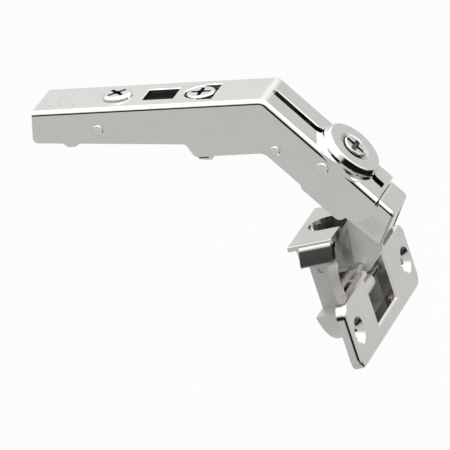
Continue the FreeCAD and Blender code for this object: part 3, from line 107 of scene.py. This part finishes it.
camera_data = bpy.data.cameras.new("photo_camera")
camera = bpy.data.objects.new("photo_camera", camera_data)
bpy.context.scene.collection.objects.link(camera)
camera.matrix_world = camera_matrix
camera_data.sensor_width = SENSOR_MM
camera_data.lens = focal_pixels / IMAGE_PIXELS * SENSOR_MM
camera_data.clip_start = CLIP_NEAR
camera_data.clip_end = CLIP_FAR
bpy.context.scene.camera = camera
bpy.context.scene.view_settings.view_transform = "Standard"
print("lens: %.0f mm" % camera_data.lens)

# %% [markdown]
# Shader sums
#
# A shader is a graph of nodes, and a sum in it takes one node for every sign. This class
# writes such sums as Python expressions: adding, taking away and multiplying two values
# makes the node. Its soft steps, rise and fall, cut out the masks of this lesson.

# %% Sums of shader values


class Value:
    """A shader socket that works in expressions with numbers and other sockets."""

    def __init__(self, tree, socket):
        self.tree = tree
        self.socket = socket

    def __add__(self, other):
        return self.tree.math("ADD", self, other)

    def __radd__(self, other):
        return self.tree.math("ADD", other, self)

    def __sub__(self, other):
        return self.tree.math("SUBTRACT", self, other)

    def __rsub__(self, other):
        return self.tree.math("SUBTRACT", other, self)

    def __mul__(self, other):
        return self.tree.math("MULTIPLY", self, other)

    def __rmul__(self, other):
        return self.tree.math("MULTIPLY", other, self)

    def __abs__(self):
        return self.tree.math("ABSOLUTE", self)

    def smaller(self, other):
        """The smaller of two values."""
        return self.tree.math("MINIMUM", self, other)

    def larger(self, other):
        """The larger of two values."""
        return self.tree.math("MAXIMUM", self, other)

    def rise(self, middle, soft):
        """0 below a threshold and 1 above it, with a soft step of this half width."""
        made = self.tree.node("ShaderNodeMapRange", {"interpolation_type": "SMOOTHSTEP"}, {
            "Value": self, "From Min": middle - soft, "From Max": middle + soft,
        })
        return self.tree.value(made)

    def fall(self, middle, soft):
        """1 below a threshold and 0 above it."""
        return 1.0 - self.rise(middle, soft)


print("shader sums: %d methods" % len([item for item in vars(Value).values() if callable(item)]))

# %% [markdown]
# Shader graphs
#
# The second helper is the graph itself. One method adds any node: it takes the node's type,
# its settings, and what goes into its sockets, be it numbers, colours or other values.

# %% Graphs of nodes


class Tree:
    """The node graph of a material or of the world."""

    def __init__(self, owner):
        owner.use_nodes = True
        self.nodes = owner.node_tree.nodes
        self.links = owner.node_tree.links
        self.nodes.clear()

    def fill(self, socket, item):
        """Give a socket a link, if the item is a value, or else the number or colour."""
        if isinstance(item, Value):
            self.links.new(item.socket, socket)
        else:
            socket.default_value = item

    def node(self, kind, settings=None, inputs=None):
        """Add a node, set it up, then fill its sockets."""
        made = self.nodes.new(kind)
        for name, setting in (settings or {}).items():
            setattr(made, name, setting)
        for name, item in (inputs or {}).items():
            self.fill(made.inputs[name], item)
        return made

    def value(self, made, output=0):
        """An output of a node, ready for expressions."""
        return Value(self, made.outputs[output])

    def axes(self, vector):
        """The three parts of a vector, as three values."""
        parts = self.node("ShaderNodeSeparateXYZ", {}, {0: vector})
        return [self.value(parts, axis) for axis in "XYZ"]

    def math(self, operation, first, second=0.5):
        """One sum of two values or numbers. The second is unused where one is enough."""
        made = self.node("ShaderNodeMath", {"operation": operation}, {0: first, 1: second})
        return self.value(made)

    def ramp(self, amount, stops):
        """A brightness ramp, smooth between stops of (position, brightness)."""
        made = self.node("ShaderNodeValToRGB", {}, {"Fac": amount})
        ramp = made.color_ramp
        ramp.interpolation = "EASE"
        for index, (position, bright) in enumerate(stops):
            stop = ramp.elements[index] if index < 2 else ramp.elements.new(position)
            stop.position = position
            stop.color = (bright, bright, bright, 1)
        return self.value(made, "Color")

    def mix(self, amount, first, second):
        """Blend two colours: the first at 0 and the second at 1."""
        made = self.node("ShaderNodeMix", {"data_type": "RGBA"}, {"Factor": amount})
        for name, item in (("A", first), ("B", second)):
            socket = [s for s in made.inputs if s.name == name and s.type == "RGBA"][0]
            self.fill(socket, item)
        return Value(self, [s for s in made.outputs if s.type == "RGBA"][0])


print("shader graphs: %d methods" % len([item for item in vars(Tree).values() if callable(item)]))

# %% [markdown]
# The room
#
# Bare metal shows little of its own colour: it shows the room. A photographer therefore
# builds the room for the metal, with a big pale cloth above and behind, and a dark gap on
# the camera's side that draws the black line along every bent edge. Here the room is a
# colour for each direction, told by three numbers from -1 to 1: to the right, to the near
# side, and up. Height alone gives the light. The gap lies near, under the cloth and over
# the table, and goes on low to the right, where the round knuckle looks.

# %% Shape the room
BLACK = (0.01, 0.01, 0.01, 1.0)
ROOM_BRIGHT = 1.8
HEIGHT_LIGHT = [
    (0.0, 0.36), (0.28, 0.42), (0.35, 0.44), (0.45, 0.46),
    (0.63, 0.46), (0.68, 0.60), (0.78, 0.95), (1.0, 0.95),
]
# each limit is (middle, half width) of a soft step
RIGHT_SHARE = 0.35
GAP_NEAR = (0.36, 0.05)
GAP_TOP = (0.22, 0.04)
GAP_BOTTOM = (-0.40, 0.03)
LOW_LEFT = (0.32, 0.05)
LOW_TOP = (-0.27, 0.04)
LOW_FAR = (-0.66, 0.04)
LOW_BOTTOM = (-0.79, 0.03)
GAP_RIGHT = (0.85, 0.05)


def dark_gap(right, near, up):
    """1 in the dark gap and 0 elsewhere, as products of soft steps."""
    camera_side = (near + right * RIGHT_SHARE).rise(*GAP_NEAR)
    over_table = (up + right * RIGHT_SHARE).rise(*GAP_BOTTOM)
    gap = camera_side * up.fall(*GAP_TOP) * over_table
    low = right.rise(*LOW_LEFT) * up.fall(*LOW_TOP) * near.rise(*LOW_FAR) * up.rise(*LOW_BOTTOM)
    return gap.larger(low) * right.fall(*GAP_RIGHT)


world = bpy.data.worlds.new("studio_room")
bpy.context.scene.world = world
tree = Tree(world)
to_right, to_far, to_top = tree.axes(tree.value(tree.node("ShaderNodeTexCoord"), "Generated"))
height_light = tree.ramp(to_top * 0.5 + 0.5, HEIGHT_LIGHT)
gap = dark_gap(to_right, 0.0 - to_far, to_top)
room_colour = tree.mix(gap, height_light * ROOM_BRIGHT, BLACK)
print("room: light at %d heights" % len(HEIGHT_LIGHT))

# %% [markdown]
# Who sees the room
#
# Only rays that bounce off shiny metal see the room. The camera itself sees plain white, as
# in the photograph, and soft light comes evenly from all sides.

# %% Light the room
WHITE = (1.0, 1.0, 1.0, 1.0)
ROOM_SOFT = (0.62, 0.62, 0.62, 1.0)

rays = tree.node("ShaderNodeLightPath")
seen = tree.mix(tree.value(rays, "Is Glossy Ray"), ROOM_SOFT, room_colour)
seen = tree.mix(tree.value(rays, "Is Camera Ray"), seen, WHITE)
background = tree.node("ShaderNodeBackground", {}, {"Color": seen, "Strength": 1.0})
tree.node("ShaderNodeOutputWorld", {}, {"Surface": tree.value(background)})
print("room nodes:", len(tree.nodes))

# %% [markdown]
# The floor
#
# The photograph shows the hinge on pure white with no horizon. A pale floor some way under
# the hinge catches a faint soft shadow, and turns nearly white for the camera so that it
# joins the background without a line. The metal doesn't mirror it: it mirrors the room.

# %% Lay the floor
FLOOR_HEIGHT = -0.11
FLOOR_SIZE = 3.0
FLOOR_PALE = (0.82, 0.82, 0.81, 1.0)
FLOOR_WHITENING = 0.9

half = FLOOR_SIZE / 2
floor_mesh = bpy.data.meshes.new("floor")
floor_corners = [
    (-half, -half, FLOOR_HEIGHT), (half, -half, FLOOR_HEIGHT),
    (half, half, FLOOR_HEIGHT), (-half, half, FLOOR_HEIGHT),
]
floor_mesh.from_pydata(floor_corners, [], [(0, 1, 2, 3)])
floor = bpy.data.objects.new("floor", floor_mesh)
bpy.context.scene.collection.objects.link(floor)
floor_paint = bpy.data.materials.new("pale_floor")
tree = Tree(floor_paint)
matt = tree.node("ShaderNodeBsdfDiffuse", {}, {"Color": FLOOR_PALE})
glow = tree.node("ShaderNodeEmission", {}, {"Color": WHITE, "Strength": 1.0})
rays = tree.node("ShaderNodeLightPath")
blend = tree.node("ShaderNodeMixShader", {}, {
    0: tree.value(rays, "Is Camera Ray") * FLOOR_WHITENING, 1: tree.value(matt), 2: tree.value(glow),
})
tree.node("ShaderNodeOutputMaterial", {}, {"Surface": tree.value(blend)})
floor.data.materials.append(floor_paint)
floor.visible_glossy = False
print("floor: %.1f m wide, at %.2f m" % (FLOOR_SIZE, FLOOR_HEIGHT))

# %% [markdown]
# Lamps
#
# Two large soft lamps finish the room. The one above gives the bends their white line, and
# the one on the right keeps the flange from going grey.

# %% Hang the lamps
OVER_LAMP = {"spot": (0.05, 0.05, 0.9), "target": (0.03, 0.0, -0.02), "width": 0.9, "watts": 3.5}
SIDE_LAMP = {"spot": (1.2, 0.6, 0.5), "target": (0.05, 0.0, -0.03), "width": 0.7, "watts": 2.0}
for name, row in (("over_lamp", OVER_LAMP), ("side_lamp", SIDE_LAMP)):
    lamp_data = bpy.data.lights.new(name, "AREA")
    lamp_data.shape = "SQUARE"
    lamp_data.size = row["width"]
    lamp_data.energy = row["watts"]
    lamp = bpy.data.objects.new(name, lamp_data)
    bpy.context.scene.collection.objects.link(lamp)
    aim = Vector(row["target"]) - Vector(row["spot"])
    lamp.location = row["spot"]
    lamp.rotation_euler = aim.to_track_quat("-Z", "Y").to_euler()
    print("%s: %.1f m away" % (name, aim.length))

# %% [markdown]
# Places on the hinge
#
# Some finishes change from place to place: dark inside the channel, dull behind the flange.
# Such a place is told as on a drawing of the side view. The arm's top is level at the rear
# and falls to the front after the bend, and the door flange leans back a little, so each
# section has an origin and an angle. A point then has a distance along the section and a
# height above it.

# %% Name the places
ARM_TOP = 0.0024
BEND = (0.0485, ARM_TOP)
BEND_ANGLE = math.radians(48.1)
KNUCKLE = (0.065463, -0.016506)
LOCK_SCREW = (0.0076, ARM_TOP)
DEPTH_CAM = (0.0299, ARM_TOP)
CUP_CORNER = (0.06731, -0.04647)
FLANGE_TILT = math.radians(8.6)


def on_section(x, z, origin, angle):
    """Distance along a section that falls to the front by the angle, and height above it.

    With the distances forward and above, from the origin, the first is forward times the
    cosine less above times the sine, and the second is forward times the sine plus above
    times the cosine.
    """
    forward = x - origin[0]
    above = z - origin[1]
    along = forward * math.cos(angle) - above * math.sin(angle)
    height = forward * math.sin(angle) + above * math.cos(angle)
    return along, height


print("knuckle: %.1f mm along the front section" % (1000 * on_section(*KNUCKLE, BEND, BEND_ANGLE)[0]))

# %% [markdown]
# Inside the channel
#
# Light hardly gets under the sheet, so the room inside the channel gets painted shade: its
# colour is darkened and its gloss lowered. The shallow dish round the side screw's head
# gets a weaker painted shade, which dims the bright reflection of its sloping wall.

# %% Mask the inside of the arm
# from here on each limit is (middle, half width) of a soft step in metres
INSIDE_FROM = (0.00105, 0.0001)
SIDE_SOFT = 0.00005
REACH_SOFT = 0.0002
DISH_FROM = (0.0021, 0.0001)
DISH_RADIUS = (0.0044, 0.00015)
# the dish takes this share of the painted shade
DISH_PAINTED_SHADE = 0.45


def axis_distance(tree, along, y):
    """Distance from a screw's axis, by the rule of the right triangle."""
    return tree.math("SQRT", along * along + y * y)


def channel_painted_shade(x, y, z, half, reach):
    """Painted shade: 1 inside the bent channel, 0 on its skin.

    The room under the sheet is where both the depth below the rear top and the depth below
    the front top are more than the sheet, between the side walls at plus and minus half,
    and up to a reach along the front section.
    """
    along, height = on_section(x, z, BEND, BEND_ANGLE)
    depth = (ARM_TOP - z).smaller(0.0 - height)
    return depth.rise(*INSIDE_FROM) * abs(y).fall(half, SIDE_SOFT) * along.fall(reach, REACH_SOFT)


def channel_and_dish_painted_shade(x, y, z, half, reach):
    """Painted shade inside the channel, and weaker painted shade in the side screw's dish."""
    along, height = on_section(x, z, KNUCKLE, BEND_ANGLE)
    radius = axis_distance(x.tree, along, y)
    dish = height.rise(*DISH_FROM) * radius.fall(*DISH_RADIUS) * DISH_PAINTED_SHADE
    return channel_painted_shade(x, y, z, half, reach).larger(dish)


print("inside of the arm: from %.2f mm under its top" % (1000 * INSIDE_FROM[0]))

# %% [markdown]
# Strokes near the nose
#
# The tool that bent the carrier's nose left a small patch of fine parallel strokes on its
# side walls. A sine of the distance along the front section draws them, with a little of the
# height added so that they lean, and soft limits keep them inside the patch.

# %% Mask the strokes
STROKE_LEAN = 0.32
STROKE_PITCH = 0.00066
STROKE_LINE = (0.55, 0.4)
STROKES_FROM = (0.0414, 0.0004)
STROKES_TO = (0.0467, 0.0006)
STROKES_BOTTOM = (-0.0092, 0.0006)
STROKES_TOP = (-0.0048, 0.0010)
STROKES_SKIN = (0.0066, 0.00002)


def nose_strokes(x, y, z):
    """1 on the strokes: where the sine is high, the place in the patch and on the skin."""
    along, height = on_section(x, z, BEND, BEND_ANGLE)
    leaning = along - height * STROKE_LEAN
    lines = x.tree.math("SINE", leaning * (2 * math.pi / STROKE_PITCH)).rise(*STROKE_LINE)
    patch = leaning.rise(*STROKES_FROM) * leaning.fall(*STROKES_TO)
    patch = patch * height.rise(*STROKES_BOTTOM) * height.fall(*STROKES_TOP)
    return lines * patch * abs(y).rise(*STROKES_SKIN)


print("strokes: about %.0f" % ((STROKES_TO[0] - STROKES_FROM[0]) / STROKE_PITCH))

# %% [markdown]
# Dull and shaded places of the cup
#
# The cup is one casting. Its flange and its end wall are smooth, but the body that
# disappears in the door stays rough and hardly mirrors. Its hollow gets a weak painted
# shade, and the shoulder under the end wall, where the wall keeps the light off, a dark one.

# %% Mask the cup
BODY_FRONT = (-0.0036, 0.0002)
HOLLOW_FRONT = (-0.0038, 0.0034)
HOLLOW_BACK = (-0.0122, 0.0001)
HOLLOW_SIDE = (0.00925, 0.0001)
HOLLOW_TOP = (-0.011, 0.002)
HOLLOW_BOTTOM = (0.01325, 0.0001)
# the hollow takes this share of the painted shade
HOLLOW_PAINTED_SHADE = 0.30
SHOULDER_SIDE = (0.0103, 0.0002)
SHOULDER_TOP = (-0.0118, 0.0004)
SHOULDER_BOTTOM = (-0.0079, 0.0006)


def on_cup(x, z):
    """How far a point stands out of the cup's mouth, and its drop down the door."""
    out, height = on_section(x, z, CUP_CORNER, -FLANGE_TILT)
    return out, 0.0 - height


def cup_painted_shade(x, y, z):
    """Painted shade: weak in the cup's hollow, 1 on its shoulder and 0 elsewhere."""
    out, drop = on_cup(x, z)
    side = abs(y)
    hollow = out.fall(*HOLLOW_FRONT) * out.rise(*HOLLOW_BACK) * side.fall(*HOLLOW_SIDE)
    hollow = hollow * drop.fall(*HOLLOW_BOTTOM) * drop.rise(*HOLLOW_TOP) * HOLLOW_PAINTED_SHADE
    shoulder = out.fall(*BODY_FRONT) * side.rise(*SHOULDER_SIDE)
    shoulder = shoulder * drop.rise(*SHOULDER_TOP) * drop.fall(*SHOULDER_BOTTOM)
    return hollow.larger(shoulder)


def rough_cup(x, y, z):
    """1 on the body behind the flange, below the shoulder."""
    out, drop = on_cup(x, z)
    return out.fall(*BODY_FRONT) * drop.rise(*SHOULDER_BOTTOM)


print("cup hollow: %.1f mm wide" % (2000 * HOLLOW_SIDE[0]))

# %% [markdown]
# Cross recesses
#
# The driver's recess in a screw head is deep and narrow, and looks dark from every side: it gets
# painted shade.

# %% Mask the recesses
RECESS_SKIN = 0.0001
RECESS_SOFT = 0.00005


def recess_painted_shade(x, y, z, centre, turn, top, reach):
    """Painted shade: 1 in a screw's cross recess, under its top and close to its axis."""
    along, height = on_section(x, z, centre, turn)
    radius = axis_distance(x.tree, along, y)
    return height.fall(top - RECESS_SKIN, RECESS_SOFT) * radius.fall(reach, RECESS_SOFT)


print("recess: %.1f mm under the head and deeper" % (1000 * RECESS_SKIN))

# %% [markdown]
# One recipe for nickel
#
# Every piece is steel or zinc with a thin coat of nickel, so one recipe serves for all. Two
# noises vary it: fine marks that follow the rolling or turning, and a wide haze from the
# bath. Both change the tone and the gloss a little, and the marks also lift the skin. Masks
# by place then paint shade into hollows, draw scored lines or roughen the metal.

# %% Write the recipe
# how dark the painted shade makes the inside of the channels
INSIDE_SHADE = 0.16
HAZE_SCALE = 90.0
HAZE_SHARE = 0.45
WEAR_CONTRAST = 2.5
WORN_PALE = 1.05
WORN_DARK = 0.93
MARK_GLOSS = 0.06
HAZE_GLOSS = 0.04
DIM_ROUGHER = 0.25
SCORE_DEPTH = 0.55
SCORE_SHADE = 0.45
DULL_ROUGHER = 0.2
DULL_LESS_METAL = 0.6


def shaded(tone, factor):
    """The tone, paler or darker by a factor, as a colour."""
    return tuple(min(1.0, share * factor) for share in tone) + (1.0,)


def nickel(name, tone, roughness, grain, bump,
           painted_shade_mask=None, shade=INSIDE_SHADE, scored=None, dull=None, metal=1.0):
    """Nickel-plated metal.

    tone is its colour, roughness the mean gloss, grain the number of marks in a metre along
    X, Y and Z, and bump the height of the skin's marks in metres. The three masks by place
    come last: the first paints shade, darkening the colour by the shade, scored draws dark
    lines and dull takes the mirror away.
    """
    made = bpy.data.materials.new(name)
    tree = Tree(made)
    place = tree.value(tree.node("ShaderNodeTexCoord"), "Object")
    point = tree.axes(place)
    spread = tree.value(tree.node("ShaderNodeMapping", {}, {"Vector": place, "Scale": grain}))
    mark = tree.value(tree.node("ShaderNodeTexNoise", {}, {
        "Vector": spread, "Scale": 1.0, "Detail": 4.0, "Roughness": 0.6,
    }))
    haze = tree.value(tree.node("ShaderNodeTexNoise", {}, {
        "Vector": place, "Scale": HAZE_SCALE, "Detail": 2.0,
    }))
    wear = (haze * HAZE_SHARE + mark * (1.0 - HAZE_SHARE) - 0.5) * WEAR_CONTRAST + 0.5
    colour = tree.mix(wear, shaded(tone, WORN_DARK), shaded(tone, WORN_PALE))
    gloss = roughness + (mark - 0.5) * MARK_GLOSS + (haze - 0.5) * HAZE_GLOSS
    # painted shade: the mask darkens the colour towards the tone times the shade
    if painted_shade_mask:
        mask = painted_shade_mask(*point)
        colour = tree.mix(mask, colour, shaded(tone, shade))
        gloss = gloss + mask * DIM_ROUGHER
    if scored:
        colour = tree.mix(scored(*point) * SCORE_DEPTH, colour, shaded(tone, SCORE_SHADE))
    if dull:
        mask = dull(*point)
        metal = metal - mask * DULL_LESS_METAL
        gloss = gloss + mask * DULL_ROUGHER
    relief = tree.node("ShaderNodeBump", {}, {"Strength": 1.0, "Distance": bump, "Height": mark})
    shader = tree.node("ShaderNodeBsdfPrincipled", {}, {
        "Base Color": colour, "Metallic": metal, "Roughness": gloss, "Normal": tree.value(relief),
    })
    tree.node("ShaderNodeOutputMaterial", {}, {"Surface": tree.value(shader)})
    return made


print("nickel: tone from %.2f to %.2f of its mean" % (WORN_DARK, WORN_PALE))

# %% [markdown]
# The kinds of metal
#
# Rolled and bent sheet keeps long faint marks, cast zinc has a skin like fine orange peel,
# and turned screws and rivets are the brightest. The two links are tumbled to a satin
# finish, and the spring is plain steel.

# %% Mix the kinds
SHEET = {"tone": (0.665, 0.65, 0.622), "roughness": 0.11, "grain": (300, 2500, 2500), "bump": 0.0000005}
CAST = {"tone": (0.65, 0.635, 0.61), "roughness": 0.16, "grain": (1100, 1100, 1100), "bump": 0.0000012}
TURNED = {"tone": (0.68, 0.67, 0.65), "roughness": 0.10, "grain": (900, 900, 900), "bump": 0.0000005}
SATIN = {"tone": (0.74, 0.73, 0.70), "roughness": 0.32, "grain": (900, 900, 900), "bump": 0.000001}
STEEL = {"tone": (0.45, 0.45, 0.46), "roughness": 0.25, "grain": (900, 900, 900), "bump": 0.000001}
SATIN_METAL = 0.3
FINISHES = {
    "nickel_sheet": nickel("nickel_sheet", **SHEET),
    "nickel_cast": nickel("nickel_cast", **CAST),
    "nickel_turned": nickel("nickel_turned", **TURNED),
    "spring_steel": nickel("spring_steel", **STEEL),
}
print("kinds of metal:", ", ".join(FINISHES))

# %% [markdown]
# Finishes for single pieces
#
# Pieces with a mask of their own, and the two links, get their own mix. The half widths and
# reaches say where the channel's room ends, just inside the walls of that piece.

# %% Mix finishes for single pieces
# how dark the painted shade makes the screws' recesses
RECESS_SHADE = 0.12
# how dark the painted shade makes the cup's hollow and shoulder
CUP_SHADE = 0.06
# painted shade inside the channels of the arm, the carrier and the adapter
in_arm = partial(channel_and_dish_painted_shade, half=0.00705, reach=0.0389)
in_carrier = partial(channel_painted_shade, half=0.0060, reach=0.0380)
# painted shade in the recesses of the lock screw and the depth cam
in_lock_screw = partial(recess_painted_shade, centre=LOCK_SCREW, turn=0.0, top=0.00105, reach=0.0027)
in_depth_cam = partial(recess_painted_shade, centre=DEPTH_CAM, turn=0.0, top=0.00015, reach=0.0026)
OWN_FINISHES = {
    "arm_channel": nickel("arm_nickel", **SHEET, painted_shade_mask=in_arm),
    "carrier": nickel("carrier_nickel", **SHEET, painted_shade_mask=in_carrier, scored=nose_strokes),
    "clip_adapter": nickel("adapter_nickel", **SHEET, painted_shade_mask=in_carrier),
    # painted shade in the cup's hollow and on its shoulder
    "cup": nickel("cup_nickel", **CAST, painted_shade_mask=cup_painted_shade, shade=CUP_SHADE, dull=rough_cup),
    "outer_link": nickel("outer_link_satin", **SATIN, metal=SATIN_METAL),
    "inner_link": nickel("inner_link_satin", **SATIN, metal=SATIN_METAL),
    "lock_screw": nickel("lock_nickel", **TURNED, painted_shade_mask=in_lock_screw, shade=RECESS_SHADE),
    "depth_cam": nickel("cam_nickel", **TURNED, painted_shade_mask=in_depth_cam, shade=RECESS_SHADE),
}
print("pieces with a finish of their own:", len(OWN_FINISHES))

# %% [markdown]
# Dress the pieces
#
# Each piece takes its own finish, or else the one of the kind that the record names for it.

# %% Give each piece its finish
for row in frame["record"]["subparts"]:
    piece = nodes[row["node"]]
    piece.data.materials.clear()
    piece.data.materials.append(OWN_FINISHES.get(row["node"], FINISHES[row["material_slot"]]))
print("finished pieces:", len(nodes))

# %% [markdown]
# The side adjusting screw
#
# This screw is the eye of the hinge: a pan head with a deep cross recess, standing in the
# dish of the round knuckle. A recess with rounded walls is hard to cut cleanly with boolean
# tools, so the whole screw is one surface instead, made of rings round the axis as on a
# lathe. The rings of the top sink wherever the cross lies. First comes the cross alone, as
# a depth for every place on the top.

# %% Draw the cross
CROSS_REACH = 0.00265
CROSS_HALF = 0.00068
CROSS_DEPTH = 0.0011
CROSS_WALL = 0.00012
TIP_NARROWER = 0.25
TIP_SHALLOWER = 0.35


def soft_step(amount, edge, soft):
    """1 below the edge and 0 above it, as the smooth cubic 3t^2 - 2t^3 between."""
    share = np.clip((edge + soft - amount) / (2 * soft), 0.0, 1.0)
    return share * share * (3.0 - 2.0 * share)


def cross_depth(x, y):
    """Depth of the cross recess: the deeper of two soft strips, along X and along Y.

    A strip ends at the reach. Towards its tip it gets narrower and shallower in proportion
    to the distance.
    """
    depth = np.zeros_like(x)
    for along, across in ((np.abs(x), np.abs(y)), (np.abs(y), np.abs(x))):
        tip_share = along / CROSS_REACH
        width = soft_step(across, CROSS_HALF * (1.0 - TIP_NARROWER * tip_share), CROSS_WALL)
        strip = width * soft_step(along, CROSS_REACH, 2 * CROSS_WALL)
        depth = np.maximum(depth, strip * (1.0 - TIP_SHALLOWER * tip_share))
    return CROSS_DEPTH * depth


print("cross: %.2f mm deep" % (1000 * cross_depth(np.zeros(1), np.zeros(1))[0]))

# %% [markdown]
# The screw's profile
#
# From the top downwards: the flat top in many fine rings, a rounded edge, then the head,
# the shank that turns in the collar, the waist that holds the carrier, and the foot.

# %% Draw the profile
SCREW_TOP = 0.0036
HEAD_RADIUS = 0.0032
EDGE_ROUND = 0.0003
EDGE_DEGREES = np.linspace(15, 90, 6)
FIRST_RING = 0.00007
TOP_RINGS = 44
# radius and height of each step under the head's edge
STEPS = np.array([
    (HEAD_RADIUS, 0.0023), (0.0020, 0.0023), (0.0020, -0.00155), (0.0013, -0.00155),
    (0.0013, -0.00375), (0.0022, -0.00375), (0.0022, -0.00455), (0.0002, -0.00455),
])

flat_radii = np.linspace(FIRST_RING, HEAD_RADIUS - EDGE_ROUND, TOP_RINGS)
edge_turn = np.radians(EDGE_DEGREES)
edge_radii = HEAD_RADIUS - EDGE_ROUND + EDGE_ROUND * np.sin(edge_turn)
edge_heights = SCREW_TOP - EDGE_ROUND + EDGE_ROUND * np.cos(edge_turn)
radii = np.concatenate((flat_radii, edge_radii, STEPS[:, 0]))
heights = np.concatenate((np.full(TOP_RINGS, SCREW_TOP), edge_heights, STEPS[:, 1]))
print("profile: %d rings, %.2f mm long" % (len(radii), 1000 * (heights[0] - heights[-1])))

# %% [markdown]
# The screw's surface
#
# The rings are joined by four-sided faces, each row closed at its seam. A fan of triangles
# round a middle point closes the surface at the top and at the foot.

# %% Make the surface
SCREW_COLUMNS = 160
SHARP_DEGREES = 40


def screw_points():
    """Points (r cos a, r sin a, h) of every ring, less the cross depth on top, and two poles."""
    angle = np.linspace(0.0, 2 * math.pi, SCREW_COLUMNS, endpoint=False)
    radius, turn = np.meshgrid(radii, angle, indexing="ij")
    height = np.repeat(heights[:, None], SCREW_COLUMNS, axis=1)
    x = radius * np.cos(turn)
    y = radius * np.sin(turn)
    height[:TOP_RINGS] -= cross_depth(x, y)[:TOP_RINGS]
    rings = np.stack((x, y, height), axis=-1).reshape(-1, 3)
    poles = [(0.0, 0.0, heights[0] - CROSS_DEPTH), (0.0, 0.0, heights[-1])]
    return np.vstack((rings, poles))


def screw_faces():
    """Faces between neighbouring rings, then the fans round the top pole and the foot pole."""
    ring, column = np.meshgrid(np.arange(len(radii) - 1), np.arange(SCREW_COLUMNS), indexing="ij")
    following = (column + 1) % SCREW_COLUMNS
    here = ring * SCREW_COLUMNS
    below = here + SCREW_COLUMNS
    quads = np.stack((here + column, below + column, below + following, here + following), axis=-1)
    first = column[0]
    second = following[0]
    last_ring = (len(radii) - 1) * SCREW_COLUMNS
    top_pole = np.full(SCREW_COLUMNS, len(radii) * SCREW_COLUMNS)
    upper = np.stack((top_pole, first, second), axis=-1)
    lower = np.stack((top_pole + 1, last_ring + second, last_ring + first), axis=-1)
    return quads.reshape(-1, 4).tolist() + upper.tolist() + lower.tolist()


screw_mesh = bpy.data.meshes.new("side_screw_turned")
screw_mesh.from_pydata(screw_points().tolist(), [], screw_faces())
screw_mesh.polygons.foreach_set("use_smooth", [True] * len(screw_mesh.polygons))
screw_mesh.set_sharp_from_angle(angle=math.radians(SHARP_DEGREES))
print("side screw: %d faces" % len(screw_mesh.polygons))

# %% [markdown]
# The screw in its place
#
# The surface is moved to the knuckle, with its axis square to the front section. The piece
# turns with the adjuster and takes the place of the plainer screw of the CAD model.

# %% Set the screw in the knuckle
SCREW_RECESS_REACH = 0.0028

down = Vector((math.cos(BEND_ANGLE), 0.0, -math.sin(BEND_ANGLE)))
out = Vector((math.sin(BEND_ANGLE), 0.0, math.cos(BEND_ANGLE)))
stand = Matrix((down, Vector((0.0, 1.0, 0.0)), out)).transposed().to_4x4()
screw_mesh.transform(Matrix.Translation((KNUCKLE[0], 0.0, KNUCKLE[1])) @ stand)
screw = bpy.data.objects.new("side_screw_turned", screw_mesh)
bpy.context.scene.collection.objects.link(screw)
# painted shade in the side screw's cross recess
in_side_screw = partial(
    recess_painted_shade, centre=KNUCKLE, turn=BEND_ANGLE, top=SCREW_TOP, reach=SCREW_RECESS_REACH,
)
screw.data.materials.append(nickel("side_nickel", **TURNED, painted_shade_mask=in_side_screw, shade=RECESS_SHADE))
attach(screw, "adjuster")
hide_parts("side_screw")
print("side screw: %.1f mm across its head" % (2000 * HEAD_RADIUS))

# %% Finish the scene
print("scene dressed")
